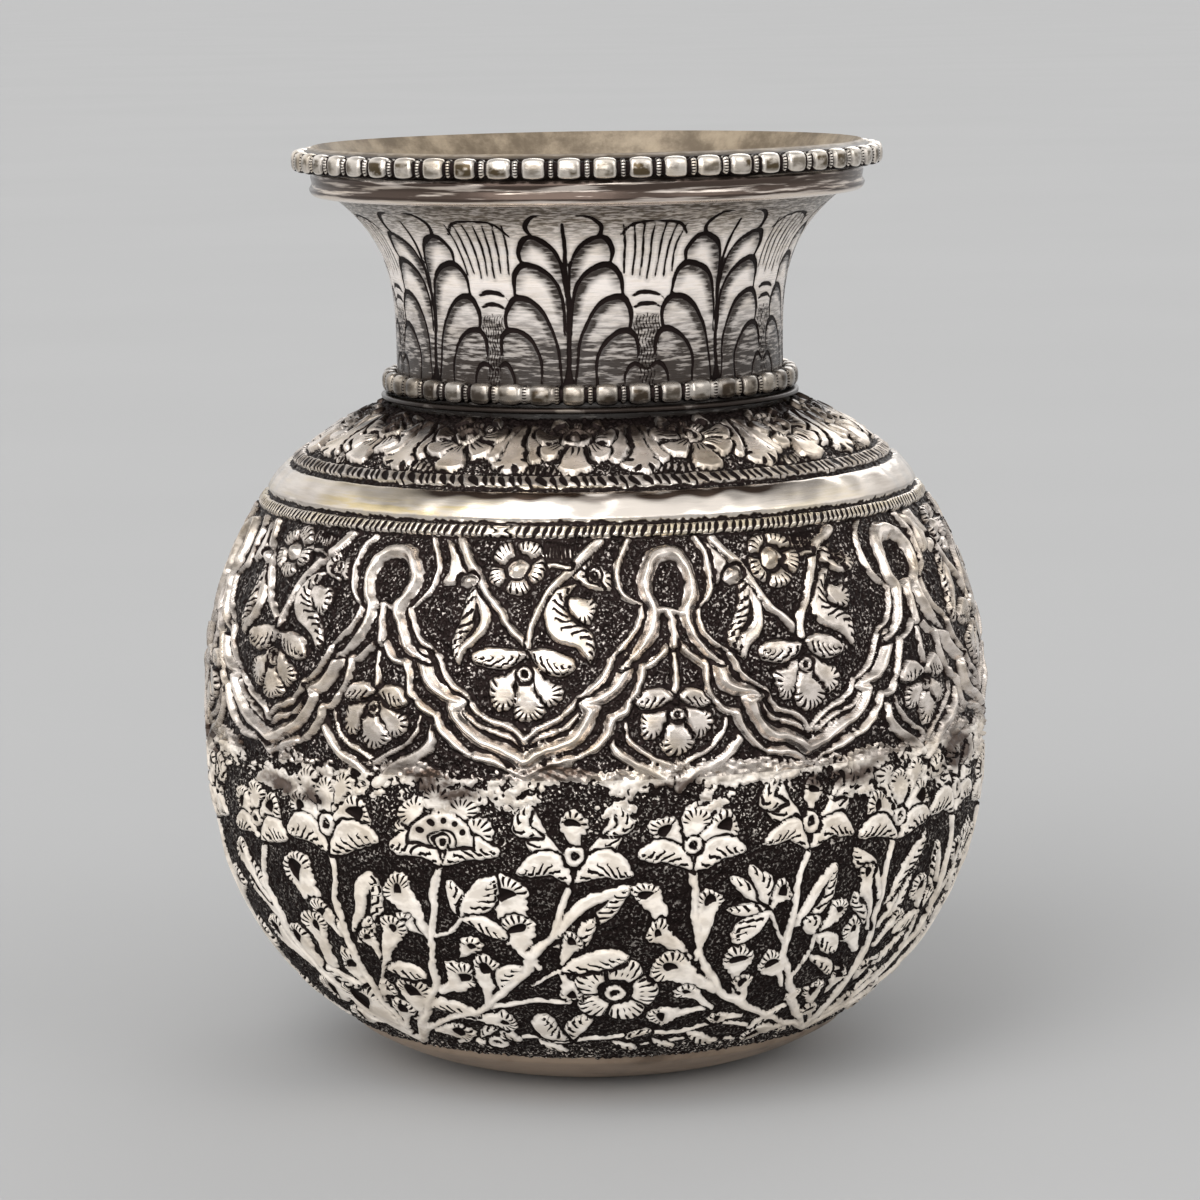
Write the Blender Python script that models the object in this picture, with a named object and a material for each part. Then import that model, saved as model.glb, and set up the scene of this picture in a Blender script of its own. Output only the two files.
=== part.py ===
"""Kalash pot: a round-bellied metal water pot with a flared neck, about 129 mm wide and 150 mm high.

The pot is an assembly of eight pieces that a metalsmith solders together:
a dished base plate, a lower bowl, an upper bowl with the shoulder, a flared neck,
a plain seat ring and a beaded ring where the neck meets the shoulder,
and a quarter-round moulding and a beaded ring round the lip.
The bowls and the base plate meet in half-lap joints, and the neck stands in the shoulder's hole.

Metres, +Z up. The origin is the centre of the flat face that the pot stands on.
"""

import math

import bmesh
import bpy

MM = 0.001

# Body of the pot, measured on its outer face. Each height is counted from the stretch below it.
BASE_FLAT_RADIUS = 20.5 * MM
BASE_EDGE_HEIGHT = 6.9 * MM
BELLY_HEIGHT = 50.5 * MM
BELLY_RADIUS = 64.4 * MM
SEAM_RISE = 5.5 * MM
BELLY_RISE = 48.9 * MM
SHOULDER_EDGE_RADIUS = 49.5 * MM
SHOULDER_RISE = 9.6 * MM

# Walls and joints. The wall of a chased shell is the sheet and its relief together.
SHELL_WALL = 2.0 * MM
LAP_WALL = 0.85 * MM
LAP_LENGTH = 3.5 * MM
JOINT_GAP = 0.3 * MM

# Neck, measured on its outer face: a straight throat, a flare and a cone up to the lip
NECK_WALL = 1.4 * MM
THROAT_RADIUS = 31.7 * MM
THROAT_LENGTH = 5.0 * MM
FLARE_LENGTH = 28.0 * MM
FLARE_SPREAD = 9.5 * MM
CONE_LENGTH = 8.0 * MM
CONE_SPREAD = 4.9 * MM
NECK_SPIGOT_LENGTH = 3.5 * MM

# Rings at the foot of the neck
SEAT_RING_WIDTH = 1.4 * MM
SEAT_RING_THICKNESS = 0.8 * MM
SEAT_RING_CHAMFER = 0.2 * MM
NECK_BEAD_HEIGHT = 3.5 * MM
NECK_BEAD_DEPTH = 2.2 * MM
NECK_BEAD_COUNT = 40

# Moulding and beaded ring at the lip, with depths measured level from the neck's cone
RIM_BEAD_HEIGHT = 3.4 * MM
RIM_BEAD_DEPTH = 1.8 * MM
RIM_BEAD_DROP = 0.1 * MM
RIM_BEAD_COUNT = 54
MOULDING_DEPTH = 1.3 * MM
MOULDING_HEIGHT = 4.0 * MM
MOULDING_ROUND = 2.2 * MM
GROOVE_DEPTH = 0.9 * MM

# A bead's start and end, then its groove's, as shares of the pitch, each with its share of the depth
BEAD_STATIONS = ((0.0, 0.0), (0.45, 0.0), (0.6, 1.0), (0.85, 1.0))

# How much wider a gap is when measured level across the neck's cone than square to it
CONE_GAP_SHARE = 1.3

# Powers of the bowl, the belly and the flare, and the straight share of the shoulder's slope
BOWL_POWER = 1.08
BELLY_POWER = 3.0
SHOULDER_STRAIGHTNESS = 0.75
FLARE_POWER = 3.7

# How finely round shapes are divided
ROUND_STEPS = 48
CURVE_SAMPLES = 400

SILVER = ("silvered_metal", (0.78, 0.74, 0.68, 1.0), 0.28, 1.0)
DARK_SILVER = ("unpolished_metal", (0.30, 0.25, 0.19, 1.0), 0.5, 1.0)


def hole_radius():
    """Radius of the hole in the shoulder that the neck stands in."""
    return THROAT_RADIUS + JOINT_GAP


def seat_radius():
    """Outer radius of the level seat round the hole, which the seat ring lies on."""
    return hole_radius() + SEAT_RING_WIDTH


def seam_height():
    """Height of the joint between the lower and the upper bowl."""
    return BELLY_HEIGHT + SEAM_RISE


def shoulder_edge_height():
    """Height of the edge where the body turns in to the shoulder."""
    return BELLY_HEIGHT + BELLY_RISE


def shoulder_top_height():
    """Height of the level seat at the shoulder's top."""
    return shoulder_edge_height() + SHOULDER_RISE


def flare_start_height():
    """Height where the neck's straight throat starts to flare."""
    return shoulder_top_height() + THROAT_LENGTH


def flare_end_height():
    """Height where the neck's flare passes into the cone that ends in the lip."""
    return flare_start_height() + FLARE_LENGTH


def lip_height():
    """Height of the pot's lip."""
    return flare_end_height() + CONE_LENGTH


def body_radius(height):
    """Outer radius of the body at a height: a rounded bowl, a full belly and a sloping shoulder."""
    if height <= BELLY_HEIGHT:
        angle = math.acos(1 - height / BELLY_HEIGHT)
        return BASE_FLAT_RADIUS + (BELLY_RADIUS - BASE_FLAT_RADIUS) * math.sin(angle) ** BOWL_POWER
    if height <= shoulder_edge_height():
        share = (height - BELLY_HEIGHT) / BELLY_RISE
        return BELLY_RADIUS + (SHOULDER_EDGE_RADIUS - BELLY_RADIUS) * share**BELLY_POWER
    share = min((height - shoulder_edge_height()) / SHOULDER_RISE, 1.0)
    fall = SHOULDER_STRAIGHTNESS * share + (1 - SHOULDER_STRAIGHTNESS) * share**2
    return SHOULDER_EDGE_RADIUS + (seat_radius() - SHOULDER_EDGE_RADIUS) * fall


def neck_radius(height):
    """Outer radius of the neck at a height: a straight throat, a flare and a cone up to the lip."""
    if height <= flare_start_height():
        return THROAT_RADIUS
    if height <= flare_end_height():
        share = (height - flare_start_height()) / FLARE_LENGTH
        return THROAT_RADIUS + FLARE_SPREAD * share**FLARE_POWER
    share = (height - flare_end_height()) / CONE_LENGTH
    return THROAT_RADIUS + FLARE_SPREAD + CONE_SPREAD * share


def inset(radius_at, height, depth):
    """The point (radius, height) that lies a depth inside the outer face, square to it."""
    step = 0.02 * MM
    run = radius_at(height + step) - radius_at(max(height - step, 0.0))
    rise = 2 * step if height > step else height + step
    length = math.hypot(run, rise)
    return (radius_at(height) - depth * rise / length, height + depth * run / length)


def heights(radius_at, low, high, count):
    """Heights from low to high that divide the outline into stretches of equal length."""
    fine = [low + (high - low) * i / CURVE_SAMPLES for i in range(CURVE_SAMPLES + 1)]
    length = [0.0]
    for a, b in zip(fine, fine[1:]):
        length.append(length[-1] + math.hypot(b - a, radius_at(b) - radius_at(a)))
    picked = []
    for k in range(count):
        wanted = length[-1] * k / (count - 1)
        i = next(n for n, reached in enumerate(length) if reached >= wanted - 1e-12)
        if i == 0:
            picked.append(low)
            continue
        part = (wanted - length[i - 1]) / (length[i] - length[i - 1])
        picked.append(fine[i - 1] + (fine[i] - fine[i - 1]) * part)
    return picked


def face_points(radius_at, low, high, count, depth):
    """Points on a face that lies a depth inside the outline, from low to high."""
    return [inset(radius_at, height, depth) for height in heights(radius_at, low, high, count)]


def material(spec):
    """The Principled material of a spec: name, colour, roughness and metallic value."""
    name, colour, roughness, metallic = spec
    found = bpy.data.materials.get(name)
    if found:
        return found
    made = bpy.data.materials.new(name)
    made.use_nodes = True
    shader = made.node_tree.nodes["Principled BSDF"]
    shader.inputs["Base Color"].default_value = colour
    shader.inputs["Roughness"].default_value = roughness
    shader.inputs["Metallic"].default_value = metallic
    return made


def finish(name, mesh_data, spec):
    """Closes a bmesh into a named object with its material and smooth round faces."""
    bmesh.ops.remove_doubles(mesh_data, verts=mesh_data.verts, dist=0.001 * MM)
    bmesh.ops.dissolve_degenerate(mesh_data, edges=mesh_data.edges, dist=0.001 * MM)
    bmesh.ops.recalc_face_normals(mesh_data, faces=mesh_data.faces)
    mesh = bpy.data.meshes.new(name)
    mesh_data.to_mesh(mesh)
    mesh_data.free()
    mesh.shade_smooth()
    mesh.set_sharp_from_angle(angle=math.radians(40))
    mesh.materials.append(material(spec))
    made = bpy.data.objects.new(name, mesh)
    bpy.context.scene.collection.objects.link(made)
    return made


def turned(name, outline, spec, closed=True):
    """Turns (radius, height) points about the pot's axis. An open outline starts and ends on the axis."""
    shape = bmesh.new()
    verts = [shape.verts.new((radius, 0.0, height)) for radius, height in outline]
    pairs = list(zip(verts, verts[1:]))
    if closed:
        pairs.append((verts[-1], verts[0]))
    edges = [shape.edges.new(pair) for pair in pairs]
    bmesh.ops.spin(
        shape,
        geom=verts + edges,
        cent=(0, 0, 0),
        axis=(0, 0, 1),
        angle=2 * math.pi,
        steps=ROUND_STEPS,
        use_merge=True,
    )
    return finish(name, shape, spec)


def beaded_ring(name, section, count, spec):
    """A ring of half-round wire stamped with barrel-shaped beads.

    section is a list of (radius, height, swell) points round the wire. In the grooves between
    the beads a point lies nearer the axis by GROOVE_DEPTH times its swell.
    """
    shape = bmesh.new()
    pitch = 2 * math.pi / count
    rings = []
    for bead in range(count):
        for share, sink in BEAD_STATIONS:
            angle = (bead + share) * pitch
            ring = []
            for radius, height, swell in section:
                reach = radius - sink * swell * GROOVE_DEPTH
                ring.append(shape.verts.new((reach * math.cos(angle), reach * math.sin(angle), height)))
            rings.append(ring)
    for ring, following in zip(rings, rings[1:] + rings[:1]):
        for i in range(len(section)):
            j = (i + 1) % len(section)
            shape.faces.new((ring[i], ring[j], following[j], following[i]))
    return finish(name, shape, spec)


def bead_section(back_low, back_high, front, floor, top):
    """Section of a beaded ring: two back points, and a half-round front with most swell at its middle."""
    half = (top - floor) / 2
    middle = floor + half
    return [
        (back_low, floor, 0.0),
        (front - 0.65 * half, floor, 0.3),
        (front, middle - 0.35 * half, 1.0),
        (front, middle + 0.35 * half, 1.0),
        (front - 0.65 * half, top, 0.3),
        (back_high, top, 0.0),
    ]


def base_plate():
    """The dished plate that closes the pot's bottom, with a tongue that laps inside the lower bowl."""
    tongue_top = BASE_EDGE_HEIGHT + LAP_LENGTH
    tongue_depth = SHELL_WALL - LAP_WALL
    outline = [(0.0, 0.0)]
    outline += face_points(body_radius, 0.0, BASE_EDGE_HEIGHT, 5, 0.0)
    outline += face_points(body_radius, BASE_EDGE_HEIGHT, tongue_top, 3, tongue_depth)
    outline += reversed(face_points(body_radius, BASE_EDGE_HEIGHT, tongue_top, 2, SHELL_WALL))
    outline += reversed(face_points(body_radius, 0.8 * MM, BASE_EDGE_HEIGHT, 4, SHELL_WALL)[:-1])
    outline.append((0.0, outline[-1][1]))
    return turned("base_plate", outline, DARK_SILVER, closed=False)


def lower_bowl():
    """The lower half of the body. It laps outside the plate's tongue and has its own at the seam."""
    foot = BASE_EDGE_HEIGHT + JOINT_GAP
    lap_end = BASE_EDGE_HEIGHT + LAP_LENGTH + 2 * JOINT_GAP
    tongue_top = seam_height() + LAP_LENGTH
    outline = face_points(body_radius, foot, seam_height(), 10, 0.0)
    outline += face_points(body_radius, seam_height(), tongue_top, 2, SHELL_WALL - LAP_WALL)
    outline += reversed(face_points(body_radius, lap_end, tongue_top, 9, SHELL_WALL))
    outline += reversed(face_points(body_radius, foot, lap_end, 3, LAP_WALL))
    return turned("lower_bowl", outline, SILVER)


def upper_bowl():
    """The upper half of the body, with the shoulder and the hole that the neck stands in."""
    foot = seam_height() + JOINT_GAP
    lap_end = seam_height() + LAP_LENGTH + 2 * JOINT_GAP
    edge = shoulder_edge_height()
    top = shoulder_top_height()
    outline = face_points(body_radius, foot, edge, 8, 0.0)
    outline += face_points(body_radius, edge, top, 4, 0.0)[1:]
    outline.append((hole_radius(), top))
    outline.append((hole_radius(), top - SHELL_WALL))
    outline += reversed(face_points(body_radius, edge, top, 4, SHELL_WALL)[1:-1])
    outline += reversed(face_points(body_radius, lap_end, edge, 7, SHELL_WALL))
    outline += reversed(face_points(body_radius, foot, lap_end, 2, LAP_WALL))
    return turned("upper_bowl", outline, SILVER)


def neck_tube():
    """The flared neck. Its spigot passes through the shoulder's hole, and its lip is flat on top."""
    foot = shoulder_top_height() - NECK_SPIGOT_LENGTH
    low = flare_start_height()
    high = flare_end_height()
    lip_radius = neck_radius(lip_height())
    outline = [(THROAT_RADIUS, foot)]
    outline += face_points(neck_radius, low, high, 7, 0.0)
    outline.append((lip_radius, lip_height()))
    outline.append((lip_radius - NECK_WALL, lip_height()))
    outline += reversed(face_points(neck_radius, low, high, 6, NECK_WALL))
    outline.append((THROAT_RADIUS - NECK_WALL, foot))
    return turned("neck_tube", outline, SILVER)


def seat_ring():
    """The plain ring on the shoulder's level seat, round the neck."""
    inner = hole_radius()
    outer = seat_radius()
    floor = shoulder_top_height() + JOINT_GAP
    top = floor + SEAT_RING_THICKNESS
    chamfer = SEAT_RING_CHAMFER
    outline = [
        (inner, floor),
        (outer - chamfer, floor),
        (outer, floor + chamfer),
        (outer, top - chamfer),
        (outer - chamfer, top),
        (inner, top),
    ]
    return turned("neck_seat_ring", outline, SILVER)


def neck_bead_ring():
    """The beaded ring that hides the joint of the neck and the shoulder."""
    back = THROAT_RADIUS + JOINT_GAP
    floor = shoulder_top_height() + SEAT_RING_THICKNESS + 2 * JOINT_GAP
    section = bead_section(back, back, back + NECK_BEAD_DEPTH, floor, floor + NECK_BEAD_HEIGHT)
    return beaded_ring("neck_bead_ring", section, NECK_BEAD_COUNT, SILVER)


def rim_moulding():
    """The quarter-round moulding under the rim's beads. Its back follows the neck."""
    top = lip_height() - RIM_BEAD_HEIGHT - JOINT_GAP
    foot = top - MOULDING_HEIGHT
    back_gap = CONE_GAP_SHARE * JOINT_GAP
    front = neck_radius(top) + back_gap + MOULDING_DEPTH
    outline = []
    for k in range(4):
        angle = math.radians(30 * k)
        reach = front - MOULDING_ROUND * (1 - math.sin(angle))
        outline.append((reach, foot + MOULDING_ROUND * (1 - math.cos(angle))))
    outline.append((front, top))
    outline.append((neck_radius(top) + back_gap, top))
    outline.append((neck_radius(foot) + back_gap, foot))
    return turned("rim_moulding", outline, SILVER)


def rim_bead_ring():
    """The beaded ring round the lip. Its back follows the neck's cone."""
    floor = lip_height() - RIM_BEAD_HEIGHT
    top = lip_height() - RIM_BEAD_DROP
    back_gap = CONE_GAP_SHARE * JOINT_GAP
    back_high = neck_radius(top) + back_gap
    section = bead_section(
        neck_radius(floor) + back_gap, back_high, back_high + RIM_BEAD_DEPTH, floor, top
    )
    return beaded_ring("rim_bead_ring", section, RIM_BEAD_COUNT, SILVER)


def main():
    """Clears the scene and builds the pot from its base to its lip."""
    for old in list(bpy.data.objects):
        bpy.data.objects.remove(old)
    base_plate()
    lower_bowl()
    upper_bowl()
    neck_tube()
    seat_ring()
    neck_bead_ring()
    rim_moulding()
    rim_bead_ring()


main()
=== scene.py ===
"""Looks of a chased kalash pot: relief, beads, patina, studio and camera.

The pot's skin is laid out flat, in degrees round the pot and in millimetres along its outline.
Each ornament is drawn there as a signed distance to its edge. The distances become relief on
closed shells, and attributes that the metal's shader turns into polished silver and dark oxide.
"""

import logging
import math
from collections.abc import Sequence
from dataclasses import dataclass, field, replace
from enum import Enum

import bpy
import numpy as np
from mathutils import Euler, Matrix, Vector


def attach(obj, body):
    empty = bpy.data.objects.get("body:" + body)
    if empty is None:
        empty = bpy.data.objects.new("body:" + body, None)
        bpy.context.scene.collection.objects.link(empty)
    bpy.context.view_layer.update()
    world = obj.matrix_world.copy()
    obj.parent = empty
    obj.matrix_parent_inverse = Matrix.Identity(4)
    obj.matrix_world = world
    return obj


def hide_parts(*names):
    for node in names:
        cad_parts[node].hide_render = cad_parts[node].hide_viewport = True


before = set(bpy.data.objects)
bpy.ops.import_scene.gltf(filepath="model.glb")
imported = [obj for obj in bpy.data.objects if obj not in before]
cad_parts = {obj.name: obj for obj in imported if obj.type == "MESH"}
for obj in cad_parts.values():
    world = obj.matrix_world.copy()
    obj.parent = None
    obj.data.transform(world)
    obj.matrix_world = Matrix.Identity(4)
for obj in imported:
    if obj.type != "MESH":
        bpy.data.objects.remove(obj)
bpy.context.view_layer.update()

Array = np.ndarray
LOG = logging.getLogger("kalash")
MM = 0.001
Points = Sequence[tuple[float, float]]
BOTH = (-1, 1)


def ramp(value: Array) -> Array:
    """Smooth step: 0 below 0, 1 above 1, and 3v² - 2v³ between them."""
    limited = np.clip(value, 0.0, 1.0)
    return limited * limited * (3.0 - 2.0 * limited)


def off_whole(value: Array) -> Array:
    """How far each number lies past the nearest whole one, from -0.5 to 0.5."""
    return (value + 0.5) % 1.0 - 0.5


def smooth_path(points: Array, per_span: int = 5) -> Array:
    """Carries a Catmull-Rom curve through control points.

    Between two points it is the cubic whose slope at each is half the step between its neighbours.

    Args:
        points: one row for each control point.
        per_span: how many stretches each span is divided into.

    Returns:
        The rows of the finer path.
    """
    if len(points) < 3:
        return points
    padded = np.vstack([2 * points[0] - points[1], points, 2 * points[-1] - points[-2]])
    t = (np.arange(per_span) / per_span)[None, :, None]
    before, start, end, after = (padded[skip:len(padded) - 3 + skip, None, :] for skip in range(4))
    spans = 0.5 * (
        2 * start
        + (end - before) * t
        + (2 * before - 5 * start + 4 * end - after) * t**2
        + (3 * start - before - 3 * end + after) * t**3
    )
    return np.vstack([spans.reshape(-1, points.shape[1]), points[-1]])


def petals(
    distance: Array, angle: Array, count: int, reach: float | Array, lobe: float, gap: float,
) -> tuple[Array, Array]:
    """A ring of round petals, whose length falls off to each side with the root of a cosine.

    Args:
        distance: distance of every point from the flower's centre.
        angle: angle of every point about it.
        count: number of petals.
        reach: length of a petal.
        lobe: depth of its rounding, as a share of its length.
        gap: half width of the gap between two petals.

    Returns:
        How far across its petal each point lies, from -0.5 to 0.5, and its distance inside.
    """
    share = off_whole(angle * count / (2 * math.pi))
    outline = reach * (1.0 - lobe + lobe * np.sqrt(np.abs(np.cos(math.pi * share))))
    between = distance * (0.5 - np.abs(share)) * 2 * math.pi / count - gap
    return share, np.minimum(outline - distance, between)


@dataclass
class Form:
    """One drawn form, as arrays over a window of the sheet, in millimetres.

    Attributes:
        inside: distance inside the form's edge, negative outside it.
        along: distance along the form's spine from its start.
        side: distance from the spine, negative on its left.
        reach: half width of the form at the nearest point of the spine.
    """

    inside: Array
    along: Array
    side: Array
    reach: Array


@dataclass
class Place:
    """Where a motif sits on the sheet.

    Attributes:
        angle: degrees round the pot of the motif's own zero.
        down: millimetres down the outline of the motif's own zero.
        flip: 1, or -1 for a mirrored motif.
        stretch: factor on the motif's own degrees.
        size: factor on the motif's own millimetres.
    """

    angle: float = 0.0
    down: float = 0.0
    flip: float = 1.0
    stretch: float = 1.0
    size: float = 1.0

    def put(self, points: Array) -> Array:
        """Turns a motif's own rows of degrees and millimetres into the sheet's."""
        placed = np.array(points, dtype=float)
        placed[:, 0] = self.angle + self.flip * self.stretch * placed[:, 0]
        placed[:, 1] = self.down + self.size * placed[:, 1]
        return placed


@dataclass
class Window:
    """A part of the sheet round one form.

    Attributes:
        rows: numbers of its rows in the sheet.
        cols: numbers of its columns.
        x: level millimetres of every point from the window's middle.
        y: millimetres down the outline of every point.
    """

    rows: Array
    cols: Array
    x: Array
    y: Array

    @property
    def view(self) -> tuple[Array, Array]:
        """The index that picks this window out of the sheet's arrays."""
        return np.ix_(self.rows, self.cols)

    def trace(self, spine: Array) -> Form:
        """Draws a form of changing width along a spine.

        The distance inside is the half width at the nearest point of the spine, less the distance
        to it. Where stretches compete, the larger value holds.

        Args:
            spine: rows of x, y and half width.

        Returns:
            The form over this window.
        """
        shape = np.broadcast(self.x, self.y).shape
        inside = np.full(shape, -np.inf)
        along, side, reach = np.zeros((3, *shape))
        travelled = 0.0
        for (x0, y0, w0), (x1, y1, w1) in zip(spine[:-1], spine[1:]):
            length = max(math.hypot(x1 - x0, y1 - y0), 1e-6)
            ux, uy = (x1 - x0) / length, (y1 - y0) / length
            px, py = self.x - x0, self.y - y0
            t = np.clip((px * ux + py * uy) / length, 0.0, 1.0)
            distance = np.hypot(px - t * length * ux, py - t * length * uy)
            width = w0 + (w1 - w0) * t
            better = width - distance > inside
            inside = np.where(better, width - distance, inside)
            along = np.where(better, travelled + t * length, along)
            side = np.where(better, np.sign(ux * py - uy * px) * distance, side)
            reach = np.where(better, width, reach)
            travelled += length
        return Form(inside, along, side, reach)

    def polar(self, centre: Array, facing: float = 0.0) -> tuple[Array, Array]:
        """Distance and angle of every point from a centre, the angle counted from a facing angle."""
        across, down = self.x - centre[0], self.y - centre[1]
        angle = np.arctan2(down, across) - facing
        return np.hypot(across, down), (angle + math.pi) % (2 * math.pi) - math.pi


@dataclass
class Sheet:
    """A stretch of the pot's skin on the bench, with the relief and the cuts made in it so far.

    Attributes:
        turn: degrees round the pot, one for each column, evenly spaced over the full turn.
        down: millimetres down the outline, one for each row.
        radius: radius of the pot in millimetres at each row.
        rise: height of the relief over the ground, in millimetres.
        edge: distance inside the nearest raised edge, negative on the ground.
        cut: distance outside the nearest engraved line.
        phase: place within a stretch of hatching, where each whole number is a line.
        hatch: how deep the hatching is cut, from 0 to 1.
        grain: how bright the punched ground is, from 0 to 1.
        patina: how far the metal is dulled, by tarnish and by painted shade and painted dark reflections,
            from 0 to 1.
        warm: how much olive painted reflection the middle of a wide form has, from 0 to 1.
        sway: how far the hand strayed level at each point.
        sag: how far it strayed downwards.
    """

    REACH = 1.5
    GROOVE = 0.32
    WAVES = 18

    turn: Array
    down: Array
    radius: Array

    def __post_init__(self) -> None:
        """Starts with bare sunk ground."""
        shape = (len(self.down), len(self.turn))
        self.rise, self.phase, self.hatch, self.patina, self.warm = np.zeros((5, *shape))
        self.grain = np.ones(shape)
        self.edge, self.cut = np.full(shape, -self.REACH), np.full(shape, self.REACH)
        self.sway, self.sag = (
            0.22 * self.ripple(seed, 8.0) + 0.045 * self.ripple(seed + 1, 2.2) for seed in (31, 33)
        )

    def window(self, points: Array, margin: float) -> Window:
        """Finds the part of the sheet round some points, with the hand's straying in its places.

        Args:
            points: rows of degrees and millimetres down.
            margin: millimetres that it reaches past them.
        """
        low, high = points[:, 1].min() - margin, points[:, 1].max() + margin
        rows = np.flatnonzero((self.down >= low) & (self.down <= high))
        middle = 0.5 * (points[:, 0].min() + points[:, 0].max())
        half = 0.5 * (points[:, 0].max() - points[:, 0].min())
        half += math.degrees(margin / self.radius[rows].min())
        step = 360.0 / len(self.turn)
        first = math.floor((middle - half - self.turn[0]) / step)
        last = math.ceil((middle + half - self.turn[0]) / step)
        steps = np.arange(first, last + 1)
        away = np.radians(self.turn[0] + steps * step - middle)
        cols = steps % len(self.turn)
        view = np.ix_(rows, cols)
        level = self.radius[rows, None] * away[None, :] + self.sway[view]
        return Window(rows, cols, level, self.down[rows, None] + self.sag[view])

    def belt(self, top: float, bottom: float) -> Window:
        """The full turn between two depths, where x counts degrees."""
        rows = np.flatnonzero((self.down > top) & (self.down < bottom))
        return Window(rows, np.arange(len(self.turn)), self.turn[None, :], self.down[rows, None])

    def by_row(self, values: dict[float, float]) -> Array:
        """Values that change only down the pot, straight between those given for some depths."""
        return np.interp(self.down, list(values), list(values.values()))[:, None] + np.zeros(self.rise.shape)

    def lay(self, points: Array) -> Array:
        """Turns rows of degrees and millimetres down into the millimetres of their own window."""
        middle = 0.5 * (points[:, 0].min() + points[:, 0].max())
        level = np.interp(points[:, 1], self.down, self.radius) * np.radians(points[:, 0] - middle)
        return np.column_stack([level, points[:, 1:]])

    def stamp(
        self, window: Window, inside: Array, top: float | Array, bevel: float = 0.45,
        cut: float | Array = REACH, phase: Array | None = None, hatch: float | Array = 0.0,
        weld: bool = False,
    ) -> None:
        """Raises a form over what is there, with a groove round it where it laps another form.

        Args:
            window: the part of the sheet.
            inside: distance inside the form's edge.
            top: height of the form.
            bevel: width of the slope at its edge.
            cut: distance outside the form's own engraved lines.
            phase: the form's own hatching, or None to keep what is there.
            hatch: depth of that hatching.
            weld: whether it runs into the other forms, with no groove.
        """
        view = window.view
        on = inside > 0
        beside = 1.0 if weld else np.clip(-inside / self.GROOVE, 0.0, 1.0)
        under = self.rise[view] * beside
        crest = top * ramp(inside / bevel)
        self.rise[view] = np.where(on, np.maximum(crest, under) if weld else crest, under)
        edge = self.edge[view]
        lapped = np.minimum(edge, -inside - self.GROOVE)
        apart = np.maximum(edge, np.maximum(inside, -self.REACH))
        edge = apart if weld else np.where(on, inside, np.where(edge > 0, lapped, apart))
        self.edge[view] = np.minimum(edge, self.REACH)
        self.cut[view] = np.where(on, np.minimum(cut, self.REACH), self.cut[view])
        if phase is not None:
            self.phase[view] = np.where(on, phase, self.phase[view])
        self.hatch[view] = np.where(on, hatch, self.hatch[view])

    def engrave(self, window: Window, away: Array) -> None:
        """Cuts lines into what is there, at the given distance outside each line."""
        self.cut[window.view] = np.minimum(self.cut[window.view], away)

    def dim(self, window: Window, dullness: Array) -> None:
        """Darkens the metal where it isn't darker already: tarnish, and painted shade and dark reflections.
        """
        self.patina[window.view] = np.maximum(self.patina[window.view], dullness)

    def ripple(self, seed: int, size: float, stretch: float = 1.0) -> Array:
        """Smooth noise over the whole sheet, about -1 to 1, with bumps of a size in millimetres.

        It sums sine waves of random direction and phase that fit a whole number of times round.

        Args:
            seed: start of the random draws.
            size: length of a wave.
            stretch: how much longer the bumps are round the pot than down it.

        Returns:
            The noise at each point.
        """
        draws = np.random.default_rng(seed)
        total = np.zeros(self.rise.shape)
        round_turn = np.radians(self.turn)[None, :]
        middle = float(self.radius.mean())
        for heading, start, scale in zip(*draws.random((3, self.WAVES))):
            pitch = size * (0.7 + 0.8 * scale)
            level = round(math.cos(math.pi * heading) * 2 * math.pi * middle / pitch / stretch)
            upright = math.sin(math.pi * heading) * 2 * math.pi / pitch
            total += np.sin(level * round_turn + upright * self.down[:, None] + 2 * math.pi * start)
        return total * math.sqrt(2.0 / self.WAVES)


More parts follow.
